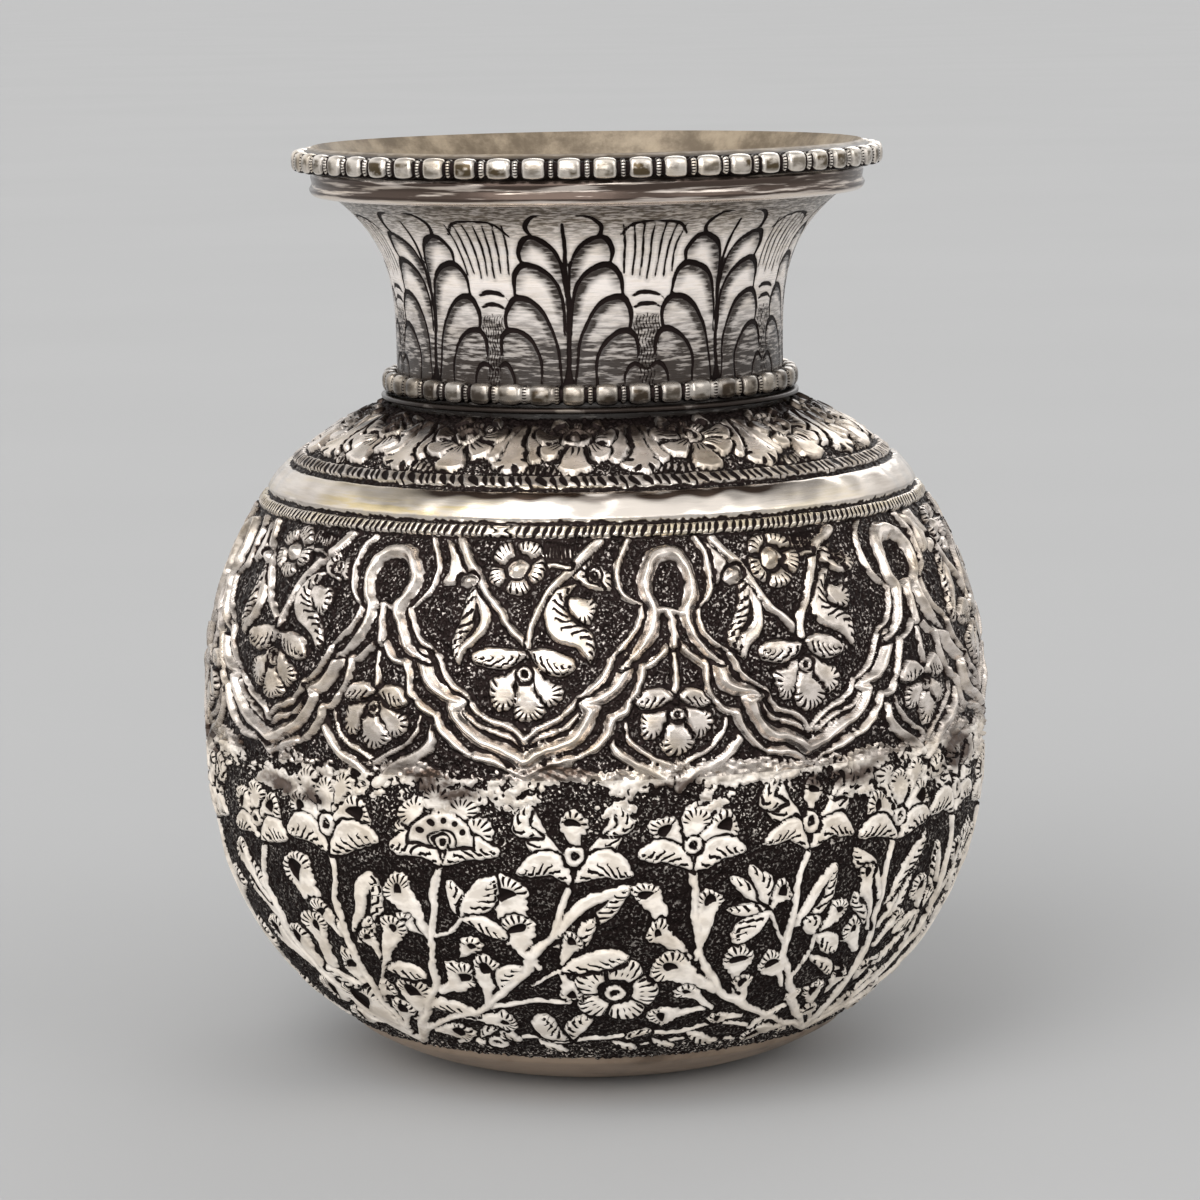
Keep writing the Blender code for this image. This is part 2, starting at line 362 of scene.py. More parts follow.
@dataclass
class Chaser:
    """The hand that draws forms on a sheet. Points are degrees and millimetres of the place.

    Attributes:
        sheet: the sheet that it works on.
        place: where it stands.
        rim: width of the bare rim outside a leaf's hatching.
        leaf: height of a leaf.
        flower: height of a rosette.
    """

    sheet: Sheet
    place: Place = field(default_factory=Place)
    rim: float = 0.1
    leaf: float = 0.8
    flower: float = 0.85

    def ready(self, points: Points, margin: float) -> tuple[Window, Array]:
        """Finds the window round points, and the points in that window's millimetres."""
        placed = self.place.put(np.array(points, dtype=float))
        return self.sheet.window(placed, margin), self.sheet.lay(placed)

    def stem(
        self, points: Points, widths: tuple[float, ...], top: float = 0.75, weld: bool = False,
        bevel: float = 0.5,
    ) -> None:
        """Raises a rounded stem or ridge through points.

        Args:
            points: the stem's course, from its root.
            widths: half widths, evenly spaced from its root to its tip.
            top: height.
            weld: whether it runs into the forms that it crosses.
            bevel: how wide the slope at each side may be.
        """
        spine = smooth_path(np.array(points, dtype=float))
        half = np.interp(np.linspace(0, len(widths) - 1, len(spine)), range(len(widths)), widths)
        self.ridge(np.column_stack([spine, half * self.place.size]), top, weld, bevel)

    def ridge(self, spine: Array, top: float, weld: bool = False, bevel: float = 0.5) -> None:
        """Raises a rounded ridge along rows of degrees, millimetres and half width."""
        widest = float(spine[:, 2].max())
        window, laid = self.ready(spine, widest + Sheet.REACH)
        self.sheet.stamp(window, window.trace(laid).inside, top, bevel=min(bevel, 0.9 * widest), weld=weld)

    def teeth(self, inside: Array, deep: float = 2.3) -> Array:
        """Width of the hatch strokes: none on the bare rim, full behind it, and gone at a depth."""
        return ramp((inside - self.rim) / 0.14) * np.clip((deep - inside) / (0.35 * deep), 0.0, 1.0)

    def fan(
        self, base: tuple[float, float], tip: tuple[float, float], width: float,
        pit: float = 0.4, pitch: float = 1.1, root: float = 0.24,
    ) -> None:
        """Raises a fan leaf: a round head that narrows to its neck, hatched round a sunk half-moon.

        Its half width grows with the square of the way along. The hatching counts the angle about
        the head's centre, whose cosine notches the rim. A mood, the sine of where the tip stands,
        makes each leaf a little different.

        Args:
            base: foot of the leaf.
            tip: outer end of the head.
            width: width of the head.
            pit: radius of the sunk half-moon, as a share of the head's, or 0 for none.
            pitch: distance between hatch lines at the rim.
            root: width at its foot, as a share of the head's.
        """
        head = 0.5 * width * self.place.size
        window, laid = self.ready([base, tip], head + Sheet.REACH)
        step = laid[1] - laid[0]
        length = float(np.hypot(*step))
        axis = step / length
        centre = laid[1] - axis * min(head, 0.6 * length)
        way = np.linspace(0.0, 1.0, 7)[:, None]
        spine = laid[0] + (centre - laid[0]) * way
        form = window.trace(np.column_stack([spine, head * (root + (1.0 - root) * way[:, 0] ** 2)]))
        distance, angle = window.polar(centre, math.atan2(axis[1], axis[0]))
        lines = max(round(1.9 * math.pi * head / pitch), 6)
        mood = math.sin(37.0 * tip[0] + 11.0 * tip[1])
        lobes = 0.14 * np.cos(angle * lines) + 0.1 * head * np.cos(3.0 * angle + 2.5 * mood)
        inside = form.inside + lobes * ramp(4.0 * distance / head - 2.4)
        pit *= 1.0 + 0.25 * mood
        dent = distance * (1.0 + 0.25 * np.cos(2.0 * angle - 3.0 * mood))
        moon = np.minimum(pit * head - dent, distance * np.cos(angle + 0.6 * mood) + 0.15 * head)
        outer = ramp((distance - max(pit, 0.4) * head - 0.2) / 0.2) * (np.abs(angle) < 1.7)
        crown = self.leaf * (1.0 - 0.75 * ramp(moon / 0.3)) if pit else self.leaf
        self.sheet.stamp(
            window, inside, crown, cut=-moon if pit else Sheet.REACH,
            phase=angle * lines / (2 * math.pi) + 0.5, hatch=self.teeth(inside) * outer,
        )

    def blade(
        self, points: Points, width: float, hatched: float = 0.0, pitch: float = 1.45,
        slit: float = 0.0, fullest: float = 0.56,
    ) -> None:
        """Raises a pointed leaf along a curved spine.

        The half width follows the sine of the way along, bent so that it is fullest at the given
        share. Hatching slants from the spine to the edge.

        Args:
            points: the spine, from foot to tip.
            width: greatest width.
            hatched: 1 or -1 for hatching right or left of the spine, or 0 for none.
            pitch: distance between hatch lines.
            slit: half width of a slit sunk in its middle, or 0 for none.
            fullest: where it is widest, as a share of the way along.
        """
        width *= self.place.size
        window, laid = self.ready(points, width / 2 + Sheet.REACH)
        spine = smooth_path(laid)
        if len(spine) == 2:
            spine = spine[0] + (spine[1] - spine[0]) * np.linspace(0.0, 1.0, 10)[:, None]
        steps = np.hypot(*np.diff(spine, axis=0).T)
        way = np.concatenate([[0.0], np.cumsum(steps)]) / steps.sum()
        bent = way ** (math.log(0.5) / math.log(fullest))
        half = 0.12 + (0.5 * width - 0.12) * np.sin(math.pi * bent) ** 0.8
        form = window.trace(np.column_stack([spine, half]))
        inside, away = form.inside, np.abs(form.side)
        if slit:
            hole = slit * (1.0 - ((form.along / float(steps.sum()) - 0.5) / 0.26) ** 2) - away
            inside = np.minimum(inside, -hole)
        share = form.side * self.place.flip * hatched / np.maximum(form.reach, 0.2)
        hatch = self.teeth(inside) * ramp((share + 0.15) / 0.15) if hatched else 0.0
        self.sheet.stamp(window, inside, self.leaf, phase=(form.along - 1.1 * away) / pitch, hatch=hatch)

    def rosette(
        self, centre: tuple[float, float], radius: float, count: int, facing: float, eye: float,
        gap: float = 0.3, pitch: float = 1.05, pit: float = 0.42, throat: float = 0.1,
    ) -> None:
        """Raises a flower of round petals with a ringed eye.

        Args:
            centre: middle of the flower.
            radius: reach of a petal.
            count: how many petals.
            facing: direction of the first petal in degrees, 90 being down.
            eye: radius of the eye, as a share of the flower's.
            gap: half width of the gap between petals.
            pitch: distance between hatch lines at the rim.
            pit: radius of the hole in the eye, as a share of the eye's, or -1 for none.
            throat: width of the dark ring round the eye, as a share of the flower's radius.
        """
        radius *= self.place.size
        window, laid = self.ready([centre], radius + Sheet.REACH)
        distance, angle = window.polar(laid[0], math.radians(facing))
        share, inside = petals(distance, angle, count, radius, 0.26, gap)
        inside = np.minimum(inside, distance - (eye + throat) * radius)
        lines = max(round(2 * math.pi * radius / count / pitch), 3)
        way = distance / radius
        hatch = self.teeth(inside, 0.2 + 0.22 * radius) * ramp((way - eye - throat - 0.12) / 0.08)
        cup = self.flower * (0.7 + 0.3 * ramp((way - 0.3) / 0.5))
        self.sheet.stamp(window, inside, cup, phase=share * lines + 0.5, hatch=hatch)
        self.knob(centre, eye * radius / self.place.size, self.flower, pit)

    def knob(self, centre: tuple[float, float], radius: float, top: float = 0.9, pit: float = 0.42) -> None:
        """Raises a round knob with a punched hole of the given share of its radius, -1 for none."""
        radius *= self.place.size
        window, laid = self.ready([centre], radius + Sheet.REACH)
        distance, _ = window.polar(laid[0])
        inside = np.minimum(radius - distance, distance - pit * radius)
        self.sheet.stamp(window, inside, top, bevel=0.3 if pit > 0 else 0.8 * radius)


@dataclass
class Outline:
    """A profile turned round the pot's axis, in millimetres, with its wall's thickness."""

    HALF_STEP = 0.7

    wall: float = 2.0

    def measure(self, radius: Array, height: Array, zero: float) -> None:
        """Keeps the course, with its length counted downwards from the height of zero."""
        steps = np.hypot(np.diff(radius), np.diff(height))
        length = np.concatenate([[0.0], np.cumsum(steps)])
        self.course_r, self.course_z = radius, height
        self.course_down = length - np.interp(-zero, -height, length)

    def at(self, down: Array) -> tuple[Array, Array, Array, Array]:
        """Finds the outside at distances down the course.

        The normal stands square to the step from half a step above to half a step below.

        Args:
            down: millimetres along the outline.

        Returns:
            The radius, the height, and the outward normal's level and upward parts.
        """
        course = (self.course_r, self.course_z)
        radius, height = (np.interp(down, self.course_down, values) for values in course)
        above, below = down - self.HALF_STEP, down + self.HALF_STEP
        step_r, step_z = (
            np.interp(below, self.course_down, values) - np.interp(above, self.course_down, values)
            for values in course
        )
        length = np.hypot(step_r, step_z)
        return radius, height, -step_z / length, step_r / length


@dataclass
class BodyOutline(Outline):
    """The bowls' outside, from the neck's foot to the base, counted from the shoulder's edge.

    Attributes:
        base_radius: radius of the flat that the pot stands on.
        belly_radius: greatest radius.
        belly_height: height of the greatest radius.
        shoulder_radius: radius at the shoulder's edge.
        shoulder_height: height of the shoulder's edge.
        seat_radius: radius where the neck stands.
        seat_height: height where the neck stands.
    """

    base_radius: float = 20.5
    belly_radius: float = 64.4
    belly_height: float = 50.5
    shoulder_radius: float = 49.5
    shoulder_height: float = 99.4
    seat_radius: float = 33.4
    seat_height: float = 109.0

    def __post_init__(self) -> None:
        """Works out the course.

        The shoulder drops by 0.75t + 0.25t² over its height. The upper belly loses radius with
        the cube of the way up from the widest point. The lower bowl follows a quarter turn whose
        sine is raised to the power 1.08.
        """
        t = np.linspace(1.0, 0.0, 60, endpoint=False)
        drop = 0.75 * t + 0.25 * t**2
        shoulder_r = self.shoulder_radius - (self.shoulder_radius - self.seat_radius) * drop
        shoulder_z = self.shoulder_height + (self.seat_height - self.shoulder_height) * t
        upper_z = np.linspace(self.shoulder_height, self.belly_height, 160, endpoint=False)
        climb = (upper_z - self.belly_height) / (self.shoulder_height - self.belly_height)
        upper_r = self.belly_radius - (self.belly_radius - self.shoulder_radius) * climb**3
        turn = np.linspace(math.pi / 2, 0.0, 240)
        lower_r = self.base_radius + (self.belly_radius - self.base_radius) * np.sin(turn) ** 1.08
        lower_z = self.belly_height * (1.0 - np.cos(turn))
        radius = np.concatenate([shoulder_r, upper_r, lower_r])
        self.measure(radius, np.concatenate([shoulder_z, upper_z, lower_z]), self.shoulder_height)


@dataclass
class NeckOutline(Outline):
    """The neck's outside, from the lip to the foot, counted from behind the lip's moulding.

    Attributes:
        throat_radius: radius of the straight part.
        flare_foot: height where the flare starts.
        flare_height: height of the flare.
        flare_spread: how much the flare adds to the radius.
        lip_radius: radius at the lip.
        lip_height: height of the lip.
        foot_height: height of the lowest edge.
        zero_height: height from which the course is counted.
    """

    wall: float = 1.4
    throat_radius: float = 31.7
    flare_foot: float = 114.0
    flare_height: float = 28.0
    flare_spread: float = 9.5
    lip_radius: float = 46.1
    lip_height: float = 150.0
    foot_height: float = 105.6
    zero_height: float = 145.94

    def __post_init__(self) -> None:
        """Works out the course: the flare grows with the power 3.7 of the way up, then a cone."""
        height = np.linspace(self.lip_height, self.foot_height, 300)
        flare_top = self.flare_foot + self.flare_height
        way = np.clip((height - self.flare_foot) / self.flare_height, 0.0, 1.0)
        cone = np.clip((height - flare_top) / (self.lip_height - flare_top), 0.0, 1.0)
        spread = self.lip_radius - self.throat_radius - self.flare_spread
        radius = self.throat_radius + self.flare_spread * way**3.7 + spread * cone
        self.measure(radius, height, self.zero_height)


@dataclass
class ShoulderOrnament:
    """Daisies and crossed leaves round the shoulder, over a row of dashes.

    Attributes:
        front: degrees of the daisies that the photograph's side shows.
        behind: how many daisies are spread evenly over the rest of the turn.
        middle: millimetres down of a daisy's middle.
        petals: number of petals.
    """

    front: tuple[float, ...] = (-55.0, -29.4, -3.4, 23.7, 50.3)
    behind: int = 9
    middle: float = -12.6
    petals: int = 8

    def draw(self, sheet: Sheet) -> None:
        """Draws the leaves between the daisies first, then the daisies over them."""
        rest = np.linspace(self.front[-1], self.front[0] + 360.0, self.behind + 2)[1:-1]
        angles = np.sort(np.concatenate([self.front, rest]) % 360.0)
        for angle, after in zip(angles, np.append(angles[1:], angles[0] + 360.0)):
            self.leaves(Chaser(sheet, Place(0.5 * (angle + after))))
        for angle in angles:
            self.daisy(Chaser(sheet, Place(angle, self.middle)))

    def leaves(self, hand: Chaser) -> None:
        """A tall leaf between two daisies, two leaves crossed over it, and dashes punched below."""
        for turn in np.linspace(-4.8, 4.8, 9):
            hand.stem([(turn + 5.6, -5.4), (turn + 5.2, -3.6)], (0.24, 0.22), 0.5)
        coarse = 9.0
        hand.fan((0, -15.0), (0, -3.3), 6.4, 0.0, coarse, 0.3)
        for side in BOTH:
            hand.fan((side * 8.4, -16.8), (side * 7.0, -10.2), 3.6, 0.0, coarse, 0.5)
            hand.blade([(side * 0.4, -16.4), (side * 4.6, -12.0), (side * 4.6, -5.8)], 4.4, fullest=0.62)

    def daisy(self, hand: Chaser) -> None:
        """Petals hatched round a ringed knob, the lowest the longest and the highest the shortest."""
        window, laid = hand.ready([(0, 0)], 9.5)
        distance, angle = window.polar(laid[0], math.pi / 2)
        turned = np.abs(angle)
        reach = 6.6 + 2.0 * (turned < 0.4) + 0.7 * (turned < 1.2) - 2.4 * (turned > 2.0)
        share, inside = petals(distance, angle, self.petals, reach, 0.2, 0.24)
        hatch = ramp((distance - 2.7) / 0.3) * ramp((5.4 - distance) / 1.2)
        cup = 0.6 + 0.35 * ramp((distance - 3) / 3)
        hand.sheet.stamp(
            window, np.minimum(inside, distance - 2.6), cup, phase=4.0 * share + 0.5, hatch=hatch,
        )
        hand.sheet.stamp(window, 0.42 - np.abs(distance - 1.95), 0.75, bevel=0.3)
        hand.sheet.stamp(window, 1.05 - distance, 0.8, bevel=0.6)


@dataclass
class RopeBand:
    """A flat band cut with slanting strokes, so that it looks like a twisted cord.

    Attributes:
        top: millimetres down the outline of its upper edge.
        bottom: millimetres down of its lower edge.
        pitch: degrees from stroke to stroke.
        lean: how many pitches a stroke moves round between the edges.
        bow: how far the middle of a stroke is bent, in pitches.
        thick: half width of a stroke, as a share of the pitch.
        splice: degrees where the last strokes meet the first, or none.
    """

    top: float
    bottom: float
    pitch: float
    lean: float
    bow: float
    thick: float
    splice: float | None = None

    def draw(self, sheet: Sheet) -> None:
        """Draws the band: a stroke is near where the slanted angle comes to a whole pitch."""
        window = sheet.belt(self.top - 2, self.bottom + 2)
        turn, down = window.x, window.y
        radius = sheet.radius[window.rows, None]
        inside = np.minimum(down - self.top, self.bottom - down) + 0.0 * turn
        inside += 0.1 * np.sin(np.radians(turn * 41)) * np.cos(np.radians(turn * 17 + 50))
        way = (down - self.top) / (self.bottom - self.top)
        count = round(360.0 / self.pitch)
        wander = 0.22 * np.sin(np.radians(turn * 23)) + 0.16 * np.sin(np.radians(turn * 57 + 20))
        strokes = turn * count / 360.0 - self.lean * way + self.bow * (way - way**2) * 4 + wander
        apart = np.abs(off_whole(strokes)) - self.thick * np.sin(math.pi * np.clip(way, 0.1, 0.9))
        cut = apart * np.radians(360.0 / count) * radius / math.hypot(1.0, self.lean)
        if self.splice is not None:
            away = np.abs((turn - self.splice + 180.0) % 360.0 - 180.0) * np.radians(radius)
            cut = np.where(away < 2.2, np.abs(away - 1.2 - 0.5 * np.sin(9 * way)) - 0.2, cut)
        sheet.stamp(window, inside, 0.75, bevel=0.35, cut=cut)


@dataclass
class PolishedBand:
    """The bare rounded band under the shoulder's edge.

    Attributes:
        top: millimetres down of its upper edge.
        bottom: millimetres down of its lower edge.
        height: how far its middle stands out, less that of its edges.
        front: degrees of the middle of its painted dark reflection, which is 44 degrees long to either side.
    """

    top: float = 0.5
    bottom: float = 6.0
    height: float = 1.0
    front: float = 4.0

    def draw(self, sheet: Sheet) -> None:
        """Raises the band: its height follows the root of a parabola across it.

        Its upper half has a painted dark reflection in front that follows a slow ripple, and the rest
        is dulled a little.
        """
        window = sheet.belt(self.top - 1, self.bottom + 1)
        down = window.y
        inside = np.minimum(down - self.top, self.bottom - down) + 0.0 * window.x
        way = np.clip((down - self.top) / (self.bottom - self.top), 0.0, 1.0)
        sheet.stamp(window, inside, 0.45 + self.height * np.sqrt(way - way**2), bevel=0.3)
        level = down + 0.35 * sheet.ripple(31, 9.0)[window.rows]
        away = np.abs(window.x - self.front)
        # Painted dark reflection across the band's upper half in front.
        dark_reflection = ramp((level - 0.75) / 0.3) * ramp((3.0 - level) / 1.3) * ramp((44.0 - away) / 16.0)
        rest = ramp((away - 46.0) / 12.0) * ramp((level - 0.6) / 0.3) * ramp((6.2 - level) / 0.3)
        sheet.dim(window, np.maximum(0.8 * dark_reflection, 0.24 * rest))


@dataclass
class Arcade:
    """Eight keyholes, and the lobed ribbon that runs round each and down to pointed swags.

    Attributes:
        keyholes: degrees of the keyholes.
        tips: degrees of the swags' lowest points.
        top: millimetres down of the arcade's upper edge.
        half: degrees from a keyhole to a tip, as drawn.
        drawn: degrees between two keyholes, as a swag's spray is drawn.
        ridges: half width, height and lobes of each ridge, from a keyhole down to a tip. A lobe's
            points are degrees from the keyhole and millimetres from the arcade's top.
        arm: the course of the broad ridge, from its first cusp up to the ring.
        ring: the ring's course, from there to its crown.
        band: half widths of the arms and the ring, from the left cusp over the crown to the right.
    """

    keyholes: tuple[float, ...] = (-32.2, 11.1, 54.7, 100.2, 145.7, 191.2, 236.7, 282.2)
    tips: tuple[float, ...] = (-53.2, -9.7, 30.9, 77.5, 123.0, 168.5, 214.0, 259.5)
    top: float = 8.7
    half: float = 22.3
    drawn: float = 44.0
    ridges: tuple[tuple[float, float, tuple[Points, ...]], ...] = (
        (0.82, 1.0, (
            [(0.0, 17.2), (1.3, 18.4), (2.8, 19.9), (5.4, 20.9)],
            [(4.8, 20.6), (5.1, 22.4), (5.8, 24.8), (7.6, 27.1)],
            [(7.0, 26.7), (7.9, 28.0), (10.3, 28.9)],
            [(9.8, 28.7), (10.6, 31.0), (12.6, 33.2), (15.8, 35.0)],
            [(15.3, 34.6), (17.8, 35.3), (20.3, 35.9), (22.3, 37.1)],
        )),
        (0.56, 0.9, (
            [(7.7, 20.2), (9.3, 22.6), (10.9, 24.4), (13.3, 26.4)],
            [(12.8, 26.3), (14.1, 28.1), (15.9, 29.6), (18.3, 30.7)],
            [(17.8, 30.5), (19.9, 31.4), (21.4, 32.4), (22.3, 33.4)],
        )),
        (0.62, 0.85, (
            [(5.6, 0.6), (7.3, 3.2), (7.7, 6.4), (7.2, 9.0), (5.8, 10.8), (3.9, 11.9)],
            [(4.4, 11.7), (5.1, 14.3), (6.3, 16.4), (8.0, 17.9), (10.0, 19.6)],
            [(9.3, 19.4), (10.4, 22.1), (12.2, 24.0), (15.0, 25.6)],
            [(14.4, 25.4), (15.4, 26.9), (17.5, 28.5)],
            [(16.9, 28.2), (19.1, 29.3), (21.0, 30.5), (22.3, 32.2)],
        )),
        (1.22, 1.25, (
            [(6.9, 19.6), (8.4, 23.2), (10.6, 25.3), (14.0, 26.2)],
            [(12.0, 27.2), (13.1, 29.5), (15.5, 31.8), (18.8, 33.4), (22.3, 35.0)],
        )),
    )
    arm: tuple[tuple[float, float], ...] = ((8.1, 20.7), (5.7, 19.0), (3.9, 17.0), (2.9, 14.6))
    ring: tuple[tuple[float, float], ...] = (
        (2.5, 12.2), (3.5, 10.4), (4.15, 8.2), (4.05, 6.1), (3.2, 4.3), (1.8, 3.2),
    )
    band: tuple[float, ...] = (0.3, 1.12, 1.15, 1.15, 1.25, 1.55, 1.25, 1.15, 1.15, 1.12, 0.3)

    def draw(self, sheet: Sheet) -> None:
        """Draws the flowers under the keyholes, the fields with their ribbons, and the keyholes."""
        niches = [Chaser(sheet, Place(angle, self.top)) for angle in self.keyholes]
        for niche in niches:
            self.bracket(niche)
            self.pendant(niche)
        before = (self.keyholes[-1] - 360.0, *self.keyholes)
        for left, tip, right in zip(before, self.tips, self.keyholes):
            stretch = (right - left) / self.drawn
            self.spray(Chaser(sheet, Place(tip, self.top, 1.0, stretch)))
            self.swag(Chaser(sheet, Place(tip, self.top)), tip - left, right - tip)
        beyond = (*self.tips[1:], self.tips[0] + 360.0)
        for number, (niche, left, right) in enumerate(zip(niches, self.tips, beyond)):
            angle = niche.place.angle
            self.keyhole(niche, angle - left, right - angle, narrow=number % 3 == 1)

    def swag(self, hand: Chaser, left: float, right: float) -> None:
        """Raises the ridges of one swag, each from the left keyhole to the tip and up again.

        A lobe keeps its width for three quarters of its way, then narrows to a cusp past the start
        of the next. The last one keeps it to the tip.

        Args:
            hand: the hand at the tip.
            left: degrees to the keyhole on the left.
            right: degrees to the keyhole on the right.
        """
        for half, top, lobes in self.ridges:
            courses = [smooth_path(np.array(lobe), 3) for lobe in lobes]
            course = np.vstack(courses)
            ends = [0.3] * (len(lobes) - 1) + [1.0]
            width = np.concatenate([
                np.interp(np.linspace(0.0, 1.0, len(part)), (0.0, 0.72, 1.0), (1.0, 0.95, end))
                for part, end in zip(courses, ends)
            ])
            way = 1.0 - course[:, 0] / self.half
            down, up = (np.column_stack([span * way, course[:, 1], half * width]) for span in (-left, right))
            hand.ridge(np.vstack([down, up[::-1]]), top, bevel=1.1)

    def keyhole(self, hand: Chaser, left: float, right: float, narrow: bool) -> None:
        """Sinks a keyhole, and lays its ring and the ring's two arms over the swags beside it.

        Args:
            hand: the hand at the keyhole's angle.
            left: degrees to the tip on the left.
            right: degrees to the tip on the right.
            narrow: whether the hole is the narrow kind.
        """
        sheet = hand.sheet
        window, laid = hand.ready([(0.0, 8.1)], 5.5)
        tall, sunk = 3.7, 0.4
        hole, wide = (2.3, 0.86) if narrow else (2.9, 1.0)
        inside = hole * (1.0 - np.hypot((window.x - laid[0, 0]) / hole, (window.y - laid[0, 1]) / tall))
        bare = {"rise": 0.0, "edge": -1.0, "cut": sheet.REACH, "hatch": 0.0}
        for name, value in bare.items():
            values = getattr(sheet, name)
            values[window.view] = np.where(inside > -0.5, value, values[window.view])
        sheet.rise[window.view] = np.where(inside > 0, -sunk * ramp(inside / 0.5), sheet.rise[window.view])
        hand.stem([(0, 12.2), (0, 18.0)], (0.72, 0.7), 0.95)
        course = [(-x * left / self.half, y) for x, y in self.arm]
        course += [(-x * wide, y) for x, y in self.ring] + [(0.0, 2.9)]
        course += [(x * wide, y) for x, y in reversed(self.ring)]
        course += [(x * right / self.half, y) for x, y in reversed(self.arm)]
        hand.stem(course, self.band, 1.25, bevel=1.1)
        hand.stem([(-1.7, 12.5), (0.0, 12.0), (1.7, 12.5)], (0.5, 0.5), 0.95, weld=True)

    def pendant(self, hand: Chaser) -> None:
        """The small flower that hangs from a keyhole, in the niche between two swags."""
        hand.stem([(0, 18.5), (0.2, 22), (0, 26.5)], (0.4, 0.6), 0.7)
        for side in BOTH:
            hand.fan((side * 0.8, 28.0), (side * 4.9, 31.0), 4.4, pit=0.0, root=0.5)
            hand.blade([(side * 0.2, 26.0), (side * 2.5, 25.6), (side * 5.4, 26.6)], 3.6, side, 1.1)
        hand.fan((0, 29.0), (0, 34.6), 4.8, pit=0.0, root=0.5)
        hand.knob((0, 28.3), 1.1)

    def bracket(self, hand: Chaser) -> None:
        """Two ridges under the pendant that meet in a point."""
        outer = ((9.3, 30.3), (8.8, 33.0), (6.0, 35.5), (3.7, 36.8), (0, 39.8))
        inner = ((7.4, 29.1), (6.8, 31.4), (4.5, 33.5), (1.8, 35.3), (0, 36.8))
        for side in BOTH:
            hand.stem([(side * turn, down) for turn, down in outer], (0.5, 0.9, 0.95, 0.8), 0.95)
            hand.stem([(side * turn, down) for turn, down in inner], (0.3, 0.5, 0.55, 0.5), 0.8)

    def spray(self, hand: Chaser) -> None:
        """The sprays in a swag's field: stems in a V, curled leaves, and two hanging flowers."""
        for turn in np.arange(2.2, 8.6, 0.62):
            hand.stem([(turn, 1.3), (turn - 0.3, 3.3)], (0.27, 0.22), 0.6)
        hand.blade([(-14.6, 0.6), (-12.0, 3.4), (-11.6, 6.2), (-13.8, 8.2)], 2.8, fullest=0.6)
        curled = [(-8.2, 7.6), (-7.6, 11.0), (-8.2, 14.6), (-9.8, 17.6), (-10.0, 20.4)]
        hand.blade(curled, 4.8, 1, slit=0.35, fullest=0.5)
        hand.fan((9.0, 4.4), (12.4, 8.6), 4.2, pit=0.0)
        hand.blade([(11.6, 0.8), (8.2, 3.8), (8.2, 6.6), (11.2, 8.6)], 2.8, -1, fullest=0.55)
        hand.fan((5.0, 9.6), (9.8, 13.2), 4.4, pit=0.0)
        hand.blade([(7.4, 7.6), (4.4, 10.6), (4.8, 14.2), (8.2, 16.6), (9.5, 20.6)], 4.0, -1, fullest=0.5)
        hand.stem([(-11.6, 0.8), (-7.6, 7.2), (-4.1, 12.4), (-0.9, 16.4), (0, 19)], (0.95, 0.72, 0.6), 0.85)
        hand.stem([(10.6, 0.8), (6.3, 4.9), (3.0, 9.7), (0.6, 14.7), (0, 18)], (1.0, 0.72, 0.6), 0.85)
        hand.stem([(1.7, 5.6), (3.6, 4.4), (6.0, 4.7)], (0.45, 0.4), 0.65)
        hand.knob((-9.4, 7.2), 1.5, pit=-1.0)
        hand.knob((10.1, 6.3), 1.2, pit=0.6)
        hand.rosette((-2.0, 5.0), 4.7, 5, facing=-62.0, eye=0.36, pit=-1.0)
        for side in BOTH:
            hand.fan((side * 1.0, 22.0), (side * 4.6, 26.4), 5.0, pit=0.0, root=0.5)
        hand.fan((0.3, 23.6), (0.4, 29.3), 5.4, pit=0.0, root=0.5)
        hand.stem([(-2.8, 28.8), (0.2, 30.6), (2.6, 29.0)], (0.2, 0.34, 0.2), 0.6)
        hand.blade([(-0.2, 18.6), (-3.2, 19.6), (-7.2, 19.4)], 4.2, -1, 1.1)
        hand.blade([(0.3, 18.4), (3.2, 19.4), (7.2, 20.8)], 4.2, 1, 1.1)
        hand.knob((0.1, 22.0), 1.2)


class Head(Enum):
    """The kinds of flower head seen from the side."""

    OPEN = "three petals"
    CURLED = "two curls round a bud"
    FULL = "a ring of petals"
    LOTUS = "a drilled disc in a fringe of petals"


